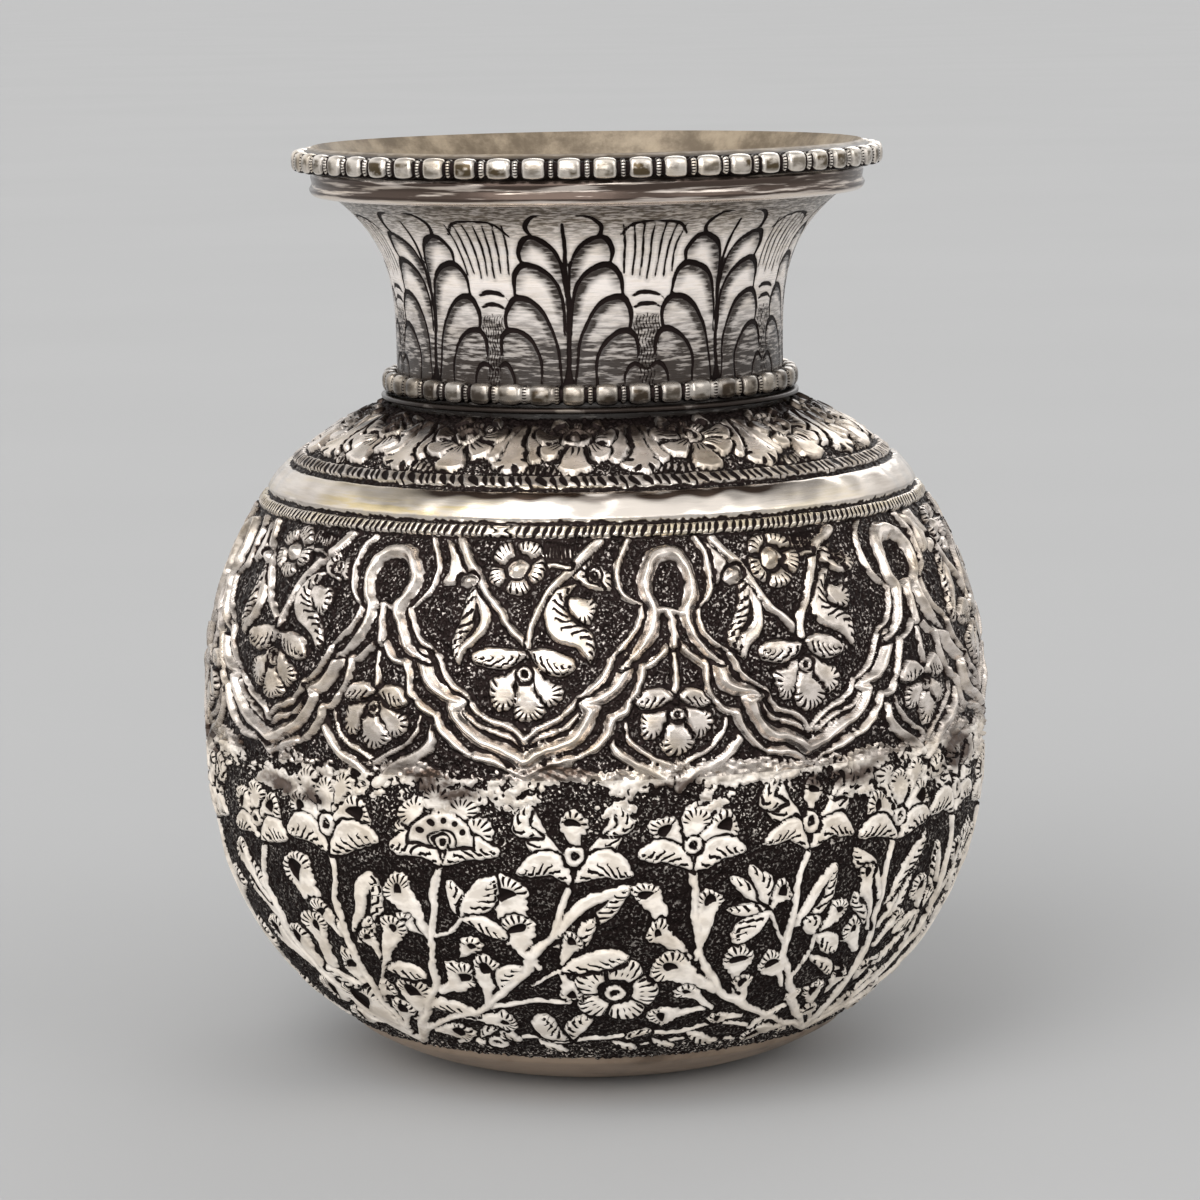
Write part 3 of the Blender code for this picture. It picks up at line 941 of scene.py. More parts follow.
@dataclass(frozen=True)
class Plant:
    """A flowering plant, as the lists that one hand chases in order.

    Attributes:
        fans: foot and tip of each fan leaf, then its width.
        blades: course, width and hatched side of each pointed leaf.
        sprigs: the point that leaves spread from, then the tip, width and kind of each, 1 for a
            fan or 0 for a blade.
        stems: course of each stem, and its thickness.
        heads: turn, depth, size and kind of each flower head.
        lush: factor on the width of the fans.
        full: factor on the width of the blades.
        slit: half width of the slit in a blade wider than 4.5 mm.
    """

    fans: tuple[tuple[float, ...], ...]
    blades: tuple[tuple[Points, float, float], ...]
    sprigs: tuple[tuple[tuple[float, float], Points, Points], ...]
    stems: tuple[tuple[Points, float], ...]
    heads: tuple[tuple[float, float, float, Head], ...]
    lush: float
    full: float
    slit: float

    def grow(self, hand: Chaser) -> None:
        """Chases the leaves, then the stems that run into them, then the flower heads."""
        for base_turn, base_down, turn, down, width in self.fans:
            hand.fan((base_turn, base_down), (turn, down), width * self.lush)
        for course, width, hatched in self.blades:
            hand.blade(course, width * self.full, hatched, slit=self.slit if width > 4.5 else 0.0)
        for centre, tips, leaves in self.sprigs:
            self.sprig(hand, centre, tips, leaves)
        for course, half in self.stems:
            hand.stem(course, (0.74 * half, 0.76 * half, 0.64 * half), 0.9, weld=True)
        for turn, down, size, kind in self.heads:
            angle = hand.place.angle + hand.place.flip * turn
            head = Chaser(hand.sheet, Place(angle, down, hand.place.flip, size, size))
            if kind is Head.LOTUS:
                self.lotus(head)
            else:
                self.bloom(head, kind)

    @staticmethod
    def sprig(hand: Chaser, centre: tuple[float, float], tips: Points, leaves: Points) -> None:
        """Leaves spread from one point.

        Args:
            hand: the hand that chases them.
            centre: the point.
            tips: where each leaf ends.
            leaves: width and kind of each, 1 for a fan or 0 for a blade.
        """
        for (turn, down), (width, kind) in zip(tips, leaves):
            if kind:
                hand.fan(centre, (turn, down), width * 1.05)
            else:
                bend = (0.5 * (centre[0] + turn) + 0.4, 0.5 * (centre[1] + down) - 0.5)
                hand.blade([centre, bend, (turn, down)], width, 1)

    @staticmethod
    def bloom(head: Chaser, kind: Head) -> None:
        """A flower head seen from the side: petals or curls over two drooping leaves and an eye.

        Args:
            head: the hand that chases it, standing where the head sits.
            kind: which petals it has.
        """
        if kind is Head.FULL:
            for side in BOTH:
                head.fan((side * 1.0, -3.4), (side * 4.0, -9.2), 4.0, pit=0.0, root=0.4)
                head.fan((side * 1.2, -1.2), (side * 6.4, -4.8), 5.2, root=0.4)
            head.fan((0, -2.0), (-0.4, -8.6), 4.2, pit=0.0, root=0.4)
        elif kind is Head.CURLED:
            for side in BOTH:
                head.blade([(side * 0.4, 0.4), (side * 4.6, -3.4), (side * 5.4, -8.6)], 3.8, side)
                head.blade([(side * 4.0, -4.6), (side * 7.0, -6.0), (side * 5.4, -9.4)], 2.6, side)
            head.fan((0, -2.2), (0.2, -8.4), 3.8, root=0.4)
        else:
            head.fan((0, -1.5), (0.5, -7.8), 5.2, pit=0.0, root=0.35)
            for side in BOTH:
                head.fan((side * 0.8, -1.0), (side * 5.8, -5.6), 5.0, root=0.35)
        droop = 1.2 if kind is Head.CURLED else 0.2
        for side in BOTH:
            head.blade([(0, 2.6), (side * 3.6, -0.4), (side * 7.8, droop)], 4.0, side)
        head.knob((0, -1.4), 1.6, 0.95)

    @staticmethod
    def lotus(head: Chaser) -> None:
        """A half-open lotus: a disc with drilled dots inside a fringe of round petals."""
        for angle, below in ((-7.2, -1.6), (-5.6, -6.2), (-0.4, -9.2), (4.8, -7.2), (7.8, -2.2)):
            head.fan((angle * 0.5, below * 0.5), (angle, below), 5.4, pit=0.0, root=0.7)
        for side in BOTH:
            head.blade([(0, 3.6), (side * 3.6, 0.8), (side * 8.2, 1.0)], 4.2, side)
        window, laid = head.ready([(0.3, 0.0)], 7.0)
        distance, angle = window.polar(laid[0], -math.pi / 2)
        disc = np.minimum(5.2 - distance, 0.6 - (window.y - head.place.down))
        apart, ring = 0.55, 3.9
        dots = np.hypot(distance - ring, off_whole(angle / apart) * apart * ring) - 0.5
        dots = np.where(np.abs(angle) < 1.4, dots, 1.0)
        arc = np.abs(distance - 2.4) - 0.12
        head.sheet.stamp(window, disc, 0.9, cut=np.minimum(dots, arc))
        head.knob((0.0, -0.4), 1.3, 0.95)


WEST = Plant(
    fans=(
        (-42.5, 75, -50.5, 62, 6.5), (-43, 76, -47, 69, 4.5), (-49.5, 84, -48.3, 71.5, 5.5),
        (-43, 87.5, -43.8, 78.5, 4.5), (-42, 98, -48.8, 86, 8.6), (-52, 86, -55.5, 75.5, 4.8),
        (-35, 92.5, -31.3, 82.5, 5.6), (-40, 96, -36.3, 88.5, 4.0), (-25.8, 75.5, -30.7, 62.5, 5.4),
        (-26.5, 74, -30.6, 69.5, 2.8), (-27, 84.8, -19.6, 79, 5.6), (-19, 87, -16.9, 76.5, 5.2),
        (-9.5, 78.5, -13.5, 62, 5.8), (-9.8, 78.5, -12.9, 68.5, 5.0),
        (-57.5, 79, -63.5, 66, 6.0), (-56, 84, -64, 76, 5.4), (-51, 91, -58, 88, 5.6),
        (-24, 90.5, -14.5, 91.5, 4.4), (-33, 96, -24.5, 95.2, 4.4), (-46.5, 96.5, -56.5, 95.5, 4.6),
        (-40.6, 88, -36.8, 84.6, 3.4), (-21.5, 77, -18.5, 73.6, 3.0), (-60, 72, -66.5, 62.5, 4.4),
        (-79.5, 91, -88.5, 82.5, 5.6), (-79, 87, -70.5, 79, 5.6), (-78.4, 80, -86.5, 71, 5.2),
        (-78, 76, -70.5, 69, 4.8), (-79.6, 96.5, -71, 91.5, 4.8), (-79.6, 98, -89, 93.5, 4.8),
    ),
    blades=(
        ([(-43, 86), (-47, 86), (-52, 83.5)], 3.0, -1), ([(-40.5, 74.5), (-36, 70), (-34, 63)], 5.2, 1),
        ([(-40.5, 76.5), (-37.5, 74.5), (-35.6, 70.5)], 2.8, 1),
        ([(-16, 84), (-15, 80.5), (-12, 78)], 2.8, 1),
        ([(-7.5, 73), (-2, 69), (4.7, 63.2)], 4.8, 1), ([(-7, 74.5), (-3, 73), (-0.3, 69)], 2.8, 1),
        ([(-31, 89), (-26, 88), (-21.5, 90.5)], 2.8, 1),
    ),
    sprigs=(
        ((-36, 80.5), [(-37.8, 73.2), (-30.8, 70.3), (-28.6, 82.2)], [(3.5, 1), (4.8, 1), (3.6, 0)]),
        ((-5.8, 79), [(-3.3, 71.3), (-4.3, 85.4), (4.3, 76.3)], [(3.8, 1), (3.4, 1), (4.6, 0)]),
        ((-20.3, 69.8), [(-21.7, 63.0), (-14.0, 62.5), (-13.2, 72.7)], [(2.8, 0), (4.8, 0), (3.4, 0)]),
    ),
    stems=(
        ([(-41, 101), (-35, 96), (-28, 91.5), (-20, 88), (-14, 82), (-10.3, 77), (-6.5, 71),
          (-3.4, 62)], 1.0),
        ([(-41, 101), (-37, 97), (-31.5, 89), (-28, 84.5), (-26.3, 78), (-25.2, 72), (-24, 66.5),
          (-22.3, 59)], 1.0),
        ([(-41, 101), (-47, 95), (-54, 86), (-57, 80), (-59, 69), (-56.5, 61)], 0.95),
        ([(-41, 101), (-41.5, 90), (-41.8, 80), (-42, 72), (-41.2, 66), (-41, 60)], 0.95),
        ([(-79, 101), (-80, 92), (-78.5, 82), (-78, 72), (-77, 60)], 0.9),
        ([(-40.3, 89), (-38.5, 85), (-36, 80)], 0.55),
        ([(-10.5, 82), (-8, 80), (-5.8, 79)], 0.55),
        ([(-24.5, 73), (-22, 72), (-20.3, 69.8)], 0.55),
    ),
    heads=(
        (-22.0, 57.0, 1.0, Head.LOTUS), (-3.2, 60.2, 1.05, Head.CURLED), (-41, 57.6, 1.12, Head.FULL),
        (-57.6, 59, 1.0, Head.OPEN), (-77, 58.4, 1.0, Head.CURLED),
    ),
    lush=1.15, full=1.12, slit=0.45,
)
EAST = Plant(
    fans=(
        (14.6, 77.5, 16.2, 64.5, 4.8), (13, 75.5, 5.8, 63, 4.8), (13.5, 77.5, 8, 70, 4.2),
        (19, 84.5, 8.6, 77.2, 6.4), (19, 88.5, 12.8, 83, 3.8), (18, 88.8, 8.1, 90.4, 4.6),
        (23, 85.5, 21.2, 75.5, 5.2), (25, 87.5, 23.5, 81.6, 3.6), (31.5, 85.5, 26.8, 77.5, 5.2),
        (45.5, 80.5, 40.8, 74, 4.8), (48.5, 76.5, 53.2, 64, 4.2), (42, 92, 38.5, 86.5, 4.0),
        (44.5, 90, 44.3, 83.5, 4.2), (26, 91.5, 19.5, 91.8, 3.8), (38, 96.5, 29.5, 98.5, 4.4),
        (46, 97, 41, 92, 3.8), (37.5, 91, 34.6, 87, 3.2), (43.5, 84, 38.2, 83, 3.2),
    ),
    blades=(
        ([(30.3, 73.5), (34, 68.5), (35.7, 63)], 4.8, 1), ([(35.5, 80), (38.5, 81.5), (41.5, 85.5)], 2.6, 1),
        ([(46.5, 72.5), (43.5, 66.5), (39.2, 60.8)], 4.2, -1), ([(45, 75.5), (43, 72), (40.8, 68)], 2.8, -1),
        ([(36.5, 90.5), (33, 92), (29, 96.5)], 2.8, -1),
    ),
    sprigs=(
        ((25, 69.7), [(19.2, 63.3), (22.3, 61.7), (28.2, 64.7), (18.7, 69), (20.8, 74.8)],
         [(2.6, 0), (3.2, 0), (4.2, 1), (2.4, 0), (4.0, 0)]),
        ((34.8, 76.2), [(32, 71.7), (39.3, 69.2), (40.3, 79.3)], [(3.4, 0), (4.4, 1), (3.6, 0)]),
    ),
    stems=(
        ([(47.5, 100.5), (40, 97), (32, 93), (25, 88.5), (20, 84.5), (16.5, 79), (14.3, 73),
          (13.2, 61)], 1.0),
        ([(47.5, 100.5), (42, 96), (36.5, 90), (32.5, 84), (30, 78), (30, 70), (30.2, 65), (31, 60)], 1.0),
        ([(29.5, 76), (27.5, 73.5), (25, 70)], 0.55),
        ([(33, 84), (34.5, 80), (34.8, 76)], 0.55),
    ),
    heads=((13.4, 58.8, 1.0, Head.OPEN), (31.2, 56.8, 1.0, Head.CURLED)),
    lush=0.98, full=0.98, slit=0.4,
)


@dataclass
class Garden:
    """Flowering plants that grow from the base to the seam, twice over the full turn.

    Attributes:
        repeats: degrees of the two repeats.
        mirror: degrees of the mirrored plant's zero.
        vines: course, half widths and height of each low vine.
        leaves: course, width and hatched side of each loose leaf between the vines.
        tufts: degrees and direction of the small leaves along the foot.
        middle: course of the stem in the middle of the plant on the right.
    """

    repeats: tuple[float, ...] = (0.0, 180.0)
    mirror: float = 95.0
    vines: tuple[tuple[Points, tuple[float, ...], float], ...] = (
        ([(-20, 88.5), (-15, 86.7), (-10, 86), (-5, 86)], (0.6, 0.45), 0.6),
        ([(-30, 99), (-20, 96.5), (-12, 95.5), (-8, 97), (0, 95.5), (8, 94.5), (15, 94.5), (20, 93.5),
          (26, 94), (34, 97), (42, 99)], (0.6, 0.55), 0.65),
        ([(-64, 99), (-72, 96), (-80, 96.5), (-90, 95), (-104, 96.5), (-118, 98)], (0.5, 0.5), 0.6),
        ([(8, 98.6), (14, 97.3), (20, 97.6), (28, 99.5)], (0.45, 0.45), 0.55),
    )
    leaves: tuple[tuple[Points, float, float], ...] = (
        ([(-6.5, 96.5), (-9.5, 93.5), (-10, 89)], 4.6, 1),
        ([(-5.5, 96.5), (-4, 92), (-1, 89)], 3.4, -1),
        ([(-18.5, 88.6), (-18.4, 93), (-15.5, 97)], 3.0, 1),
        ([(16, 95), (20, 98), (24.5, 98.5)], 2.6, 1),
    )
    tufts: Points = ((-26, 1), (-24, -1), (-12, 1), (2, 1), (4.5, -1), (10, 1), (29, 1), (36, 1))
    middle: Points = ((47.5, 100.5), (47.6, 90), (48, 82), (47, 74), (46.5, 68), (47, 60))

    def draw(self, sheet: Sheet) -> None:
        """Draws both plants on the left, then those on the right, each with its mirrored half."""
        for turn in self.repeats:
            hand = Chaser(sheet, Place(turn))
            self.creepers(hand)
            WEST.grow(hand)
        for turn in self.repeats:
            hand = Chaser(sheet, Place(turn))
            EAST.grow(hand)
            hand.stem(self.middle, (0.95, 0.75, 0.6), 0.8, weld=True)
            Plant.bloom(Chaser(sheet, Place(turn + 48.0, 58.4, 1.0, 1.05, 1.05)), Head.FULL)
            mirrored = Chaser(sheet, Place(turn + self.mirror, 0.0, -1.0))
            replace(EAST, lush=0.78, full=0.78).grow(mirrored)

    def creepers(self, hand: Chaser) -> None:
        """Thin vines low on the bowl, with loose leaves, and one large open flower."""
        for course, widths, top in self.vines:
            hand.stem(course, widths, top)
        for course, width, hatched in self.leaves:
            hand.blade(course, width, hatched)
        for turn, side in self.tufts:
            course = [(turn, 96.5), (turn + 2.2, 96.5 + side * 1.8), (turn + 5.2, 96.8 + side * 3.0)]
            hand.blade(course, 2.0, side)
        hand.knob((-20.8, 97.8), 1.6, 0.7)
        hand.rosette((2.6, 83.8), 6.8, 5, facing=-75.0, eye=0.27, gap=0.26, throat=0.16, pitch=1.5)


@dataclass
class SolderSeam:
    """The rough seam where the two bowls are soldered, flooded here and there with silver.

    Attributes:
        middle: millimetres down of the seam.
        reach: how far the solder runs to either side.
    """

    middle: float = 47.6
    reach: float = 2.9

    def draw(self, sheet: Sheet) -> None:
        """Floods the ground near the seam where three sizes of smooth noise run high together."""
        spill = 3.2 * self.reach
        window = sheet.belt(self.middle - spill, self.middle + spill)

        def noise(seed: int, size: float, stretch: float = 1.0) -> Array:
            """Smooth noise over the seam's part of the sheet."""
            return sheet.ripple(seed, size, stretch)[window.rows]

        broad, fine, grit = noise(11, 7.0, 2.0), noise(12, 1.8, 1.5), noise(16, 0.9)
        away = np.abs(window.y - self.middle - 1.2 * noise(13, 30.0)) / self.reach
        flood = 0.85 * broad + 0.4 * fine + 0.35 * grit + 0.66 - away**1.5
        blob = np.where(sheet.edge[window.view] < 0.15, 0.7 * flood, -9.0)
        pits = 0.42 * np.abs(noise(14, 1.0, 1.5)) + 0.22 * flood - 0.06
        sheet.stamp(window, np.minimum(blob, 1.2), 0.4 + 0.16 * fine + 0.12 * grit, bevel=0.4, cut=pits)
        sheet.dim(window, np.clip(0.28 + 0.5 * noise(15, 9.0, 2.0), 0.0, 0.9) * ramp(1.6 - away))


@dataclass
class NeckEngraving:
    """Eight palmettes cut into the neck's plain metal, with fine lines between them.

    Attributes:
        count: number of palmettes.
        first: degrees of the first one.
        border: millimetres down of the line cut round the neck's foot.
        leaf_shade: how far the painted shade spreads from a leaf's line, in millimetres.
        leaves: course and greatest half width of each leaf on a palmette's right.
        taper: half widths along a leaf, as shares of the greatest.
        arcs: course and half widths of the arcs between two palmettes.
    """

    count: int = 8
    first: float = -6.0
    border: float = 37.0
    leaf_shade: float = 2.6
    leaves: tuple[tuple[Points, float], ...] = (
        ([(1.8, 38.4), (3.2, 31.5), (6.5, 26.8), (11, 24.4), (15.5, 24.2), (18, 26.5), (17.6, 29.6)], 0.46),
        ([(8.2, 38.6), (8.0, 34), (11.2, 30.7), (16, 29.3), (19.4, 30.4), (20.2, 33.4)], 0.44),
        ([(15.8, 38.8), (16.6, 36), (19, 34.6), (22.2, 35.6)], 0.36),
        ([(0.9, 30), (1.2, 25), (3.2, 21.4), (7, 19.2), (11.6, 18.6), (14.6, 20.4), (15.4, 23.6)], 0.5),
        ([(0.5, 24), (1.2, 18.6), (3.6, 15.2), (7.4, 13.6), (10.4, 13.8), (12.4, 16.2), (12, 18.4)], 0.48),
        ([(0.4, 18.9), (3.5, 15.7), (8.4, 13.2), (8.9, 11), (6.6, 9.0), (3.4, 8.6)], 0.4),
    )
    taper: tuple[float, ...] = (0.2, 0.34, 0.5, 0.75, 0.95, 0.65, 0.3)
    arcs: tuple[tuple[Points, tuple[float, ...]], ...] = (
        ([(-8.6, 12.6), (-5.4, 10.2), (0, 9.6), (5.4, 10.2), (8.6, 12.6)], (0.14, 0.26, 0.2, 0.26, 0.14)),
        ([(-4.6, 23.5), (-2.4, 22.9), (0, 22.7), (2.4, 22.9), (4.6, 23.5)], (0.05, 0.28, 0.3, 0.28, 0.05)),
        ([(-4.2, 25.3), (-2.2, 24.7), (0, 24.5), (2.2, 24.7), (4.2, 25.3)], (0.05, 0.24, 0.3, 0.24, 0.05)),
    )

    def draw(self, sheet: Sheet) -> None:
        """Starts from bare polished metal, then cuts the palmettes, the lines and the border."""
        sheet.rise[:] = 0.0
        sheet.edge[:] = sheet.REACH
        pitch = 360.0 / self.count
        for number in range(self.count):
            angle = self.first + pitch * number
            self.palmette(Chaser(sheet, Place(angle, -1.9)))
            self.between(Chaser(sheet, Place(angle + pitch / 2, -1.3)), number)
        foot = sheet.belt(self.border - 2.0, self.border + 2.0)
        sheet.engrave(foot, np.abs(foot.y - self.border) - 0.3 + 0.0 * foot.x)

    def line(self, hand: Chaser, points: Points, widths: tuple[float, ...], shaded: int = 0) -> None:
        """Cuts one stroke whose half width changes along its course.

        Args:
            hand: the hand at the stroke's place.
            points: the stroke's course.
            widths: half widths, evenly spaced from its start to its end.
            shaded: -1 or 1 to paint shade on its left or right side, which fades out.
        """
        window, laid = hand.ready(points, 1.8 + 1.2 * abs(shaded))
        spine = smooth_path(laid, 6)
        way = np.linspace(0.0, 1.0, len(spine))
        half = np.interp(way, np.linspace(0.0, 1.0, len(widths)), widths)
        form = window.trace(np.column_stack([spine, half]))
        hand.sheet.engrave(window, -form.inside)
        if shaded:
            share = np.clip(form.along / float(form.along.max()), 0.0, 1.0)
            # Painted shade inside the leaf beside its line, strongest midway along it.
            leaf_shade = ramp(1.08 - np.abs(form.side) / self.leaf_shade) * (form.side * shaded > 0)
            hand.sheet.dim(window, leaf_shade * np.sin(math.pi * share) ** 0.6)

    def palmette(self, hand: Chaser) -> None:
        """Cuts a stem and six pairs of leaves, each an arch that ends on the leaf below it."""
        for side in BOTH:
            for number, (points, thick) in enumerate(self.leaves):
                lowest = number == len(self.leaves) - 1
                course = [(side * turn, down) for turn, down in points]
                widths = tuple(thick * share for share in self.taper)
                self.line(hand, course, widths, 0 if lowest else side)
        self.line(hand, [(0.1, 10.6), (-0.2, 18), (0.3, 27), (0, 35)], (0.2, 0.26, 0.34, 0.28))
        self.line(hand, [(0, 35.5), (0, 39)], (0.3, 1.1))
        for side in BOTH:
            self.line(hand, [(side * 0.8, 37.5), (side * 3.6, 39)], (0.3, 0.3))

    def between(self, hand: Chaser, number: int) -> None:
        """Cuts a fan of fine lines, three arcs, and a wedge of punched dots between palmettes.

        Args:
            hand: the hand midway between two palmettes.
            number: which gap it is, which varies the lines a little.
        """
        for step in range(7):
            turn = -7.2 + 2.35 * step
            end = 20.6 - 0.32 * abs(step - 3) + 0.5 * math.sin(3.1 * step + number)
            wave = 0.5 * math.sin(1.7 * step + 2.3 * number)
            course = [(turn * 1.12, 10.4), (turn + wave * 0.5, 14.5), (turn * 0.94, end)]
            self.line(hand, course, (0.08, 0.14, 0.09))
        for course, widths in self.arcs:
            self.line(hand, course, widths)
        window, _ = hand.ready([(0, 31.0)], 7.5)
        down = window.y - hand.place.down
        half = 2.45 - 0.16 * np.abs(down - 28.5)
        inside = np.minimum(np.minimum(half - np.abs(window.x), down - 26.2), 38.0 - down)
        column = window.x / 0.5 + 0.4 * np.sin(1.9 * down)
        broken = ramp(1.2 + 1.6 * np.sin(2 * math.pi * (down / 1.3 + 0.37 * np.round(column))))
        for values, dots in ((hand.sheet.phase, column), (hand.sheet.hatch, broken * ramp(inside / 0.25))):
            values[window.view] = np.where(inside > 0, dots, values[window.view])
        hand.sheet.dim(window, 0.6 * ramp(inside / 0.4))


class MaterialSlot(Enum):
    """The record's material slots."""

    CHASED = "chased_silver"
    POLISHED = "polished_silver"
    UNPOLISHED = "unpolished_silver"


@dataclass
class Skin:
    """Closed rows of points turned round the pot's axis, with the values that its metal reads.

    Attributes:
        radius: distance from the axis, rows by columns, in millimetres.
        height: height, rows by columns.
        turn: degrees round the pot, one for each column.
        marks: values at each point, by name.
        corners: rows where the surface folds sharply.
        poles: whether the first and last rows close in a point, instead of meeting each other.
    """

    radius: Array
    height: Array
    turn: Array
    marks: dict[str, Array] = field(default_factory=dict)
    corners: tuple[int, ...] = ()
    poles: bool = False

    def build(self, name: str) -> bpy.types.Object:
        """Makes the mesh: a point at row i and column j joins its neighbours in four-sided faces.

        Args:
            name: name of the piece.

        Returns:
            The new object, at the origin.
        """
        rows, cols = self.radius.shape
        angle = np.radians(self.turn)[None, :]
        places = [self.radius * np.sin(angle), -self.radius * np.cos(angle), self.height]
        points = np.stack(places, axis=-1).reshape(-1, 3)
        row = np.arange(rows if not self.poles else rows - 1)[:, None]
        col = np.arange(cols)[None, :]
        below, beside = (row + 1) % rows, (col + 1) % cols
        corners = [row * cols + col, below * cols + col, below * cols + beside, row * cols + beside]
        quads = np.stack(corners, axis=-1).reshape(-1, 4)
        loops, starts = quads.ravel(), np.arange(len(quads)) * 4
        if self.poles:
            ends = np.array([[0.0, 0.0, self.height[0, 0]], [0.0, 0.0, self.height[-1, 0]]])
            points = np.vstack([points, ends])
            ring, after = np.arange(cols), (np.arange(cols) + 1) % cols
            foot, first = (rows - 1) * cols, rows * cols
            tops = np.column_stack([ring, after, np.full(cols, first)])
            feet = np.column_stack([foot + after, foot + ring, np.full(cols, first + 1)])
            tris = np.vstack([tops, feet])
            starts = np.concatenate([starts, len(loops) + np.arange(len(tris)) * 3])
            loops = np.concatenate([loops, tris.ravel()])
        mesh = bpy.data.meshes.new(name)
        mesh.vertices.add(len(points))
        mesh.vertices.foreach_set("co", (points * MM).astype(np.float32).ravel())
        mesh.loops.add(len(loops))
        mesh.loops.foreach_set("vertex_index", loops.astype(np.int32))
        mesh.polygons.add(len(starts))
        mesh.polygons.foreach_set("loop_start", starts.astype(np.int32))
        mesh.update(calc_edges=True)
        mesh.validate()
        self.mark(mesh, rows, cols)
        piece = bpy.data.objects.new(name, mesh)
        bpy.context.scene.collection.objects.link(piece)
        return piece

    def mark(self, mesh: bpy.types.Mesh, rows: int, cols: int) -> None:
        """Writes the values at each point, and the folds, into the mesh."""
        spare = len(mesh.vertices) - rows * cols
        for name, values in self.marks.items():
            layer = mesh.attributes.new(name, "FLOAT", "POINT")
            flat = np.broadcast_to(values, (rows, cols)).ravel()
            layer.data.foreach_set("value", np.pad(flat, (0, spare), "edge").astype(np.float32))
        mesh.polygons.foreach_set("use_smooth", np.ones(len(mesh.polygons), dtype=bool))
        if self.corners:
            pairs = np.empty(len(mesh.edges) * 2, dtype=np.int32)
            mesh.edges.foreach_get("vertices", pairs)
            row = pairs.reshape(-1, 2) // cols
            sharp = (row[:, 0] == row[:, 1]) & np.isin(row[:, 0], self.corners)
            mesh.edges.foreach_set("use_edge_sharp", sharp)


def chased_shell(sheet: Sheet, outline: Outline, top: float, foot: float, ground: float) -> Skin:
    """Closes a stretch of chased skin with a plain inner wall.

    A point lies on the outline, moved along its normal by the relief less the ground's depth. The
    inner wall is the outline moved inwards by the metal's thickness.

    Args:
        sheet: the chased skin.
        outline: the profile that it lies on.
        top: millimetres down of the upper edge.
        foot: millimetres down of the lower edge.
        ground: how far the ground lies under the outline.

    Returns:
        The closed rows.
    """
    inner_rows, hair, line_depth, hatch_depth = 5, 1e-6, 0.16, 0.12
    rows = np.flatnonzero((sheet.down >= top - hair) & (sheet.down <= foot + hair))
    down = sheet.down[rows]
    radius, height, out_r, out_z = (values[:, None] for values in outline.at(down))
    line = line_depth * (1.0 - ramp((sheet.cut[rows] + 0.1) / 0.35))
    stroke = np.abs(off_whole(sheet.phase[rows]))
    hatch = np.clip(sheet.hatch[rows], 0.0, 1.0)
    hatched = hatch_depth * ramp(8.0 * hatch) * (1.0 - ramp((stroke - 0.15 * hatch) / 0.14))
    relief = sheet.rise[rows] - ground - line - hatched
    inner_down = np.linspace(down[-1], down[0], inner_rows)
    in_r, in_z, in_nr, in_nz = (values[:, None] for values in outline.at(inner_down))
    level = np.ones((1, len(sheet.turn)))
    inner_r = (in_r - outline.wall * in_nr) * level
    inner_z = (in_z - outline.wall * in_nz) * level
    plain = {
        "edge": sheet.REACH, "cut": sheet.REACH, "phase": 0.0, "hatch": 0.0, "grain": 0.0, "patina": 0.0,
        "warm": 0.0,
    }
    marks = {
        name: np.vstack([getattr(sheet, name)[rows], np.full(inner_r.shape, rest)])
        for name, rest in plain.items()
    }
    marks["inner"] = np.vstack([np.zeros(relief.shape), np.ones(inner_r.shape)])
    skin_r = np.vstack([radius + out_r * relief, inner_r])
    skin_z = np.vstack([height + out_z * relief, inner_z])
    corners = (0, len(rows) - 1, len(rows), len(rows) + inner_rows - 1)
    return Skin(skin_r, skin_z, sheet.turn, marks, corners)


def section(count: int, power: float) -> tuple[Array, Array]:
    """A ring's section: the cosine and the sine of a full turn, each raised to a power.

    Args:
        count: number of points round it.
        power: 1 for a round section, smaller for a squarer one.

    Returns:
        How far across and how far up each point lies, both from -1 to 1.
    """
    angle = np.linspace(2 * math.pi, 0.0, count, endpoint=False)[:, None]
    across, upright = (np.sign(wave) * np.abs(wave) ** power for wave in (np.cos(angle), np.sin(angle)))
    return across, upright


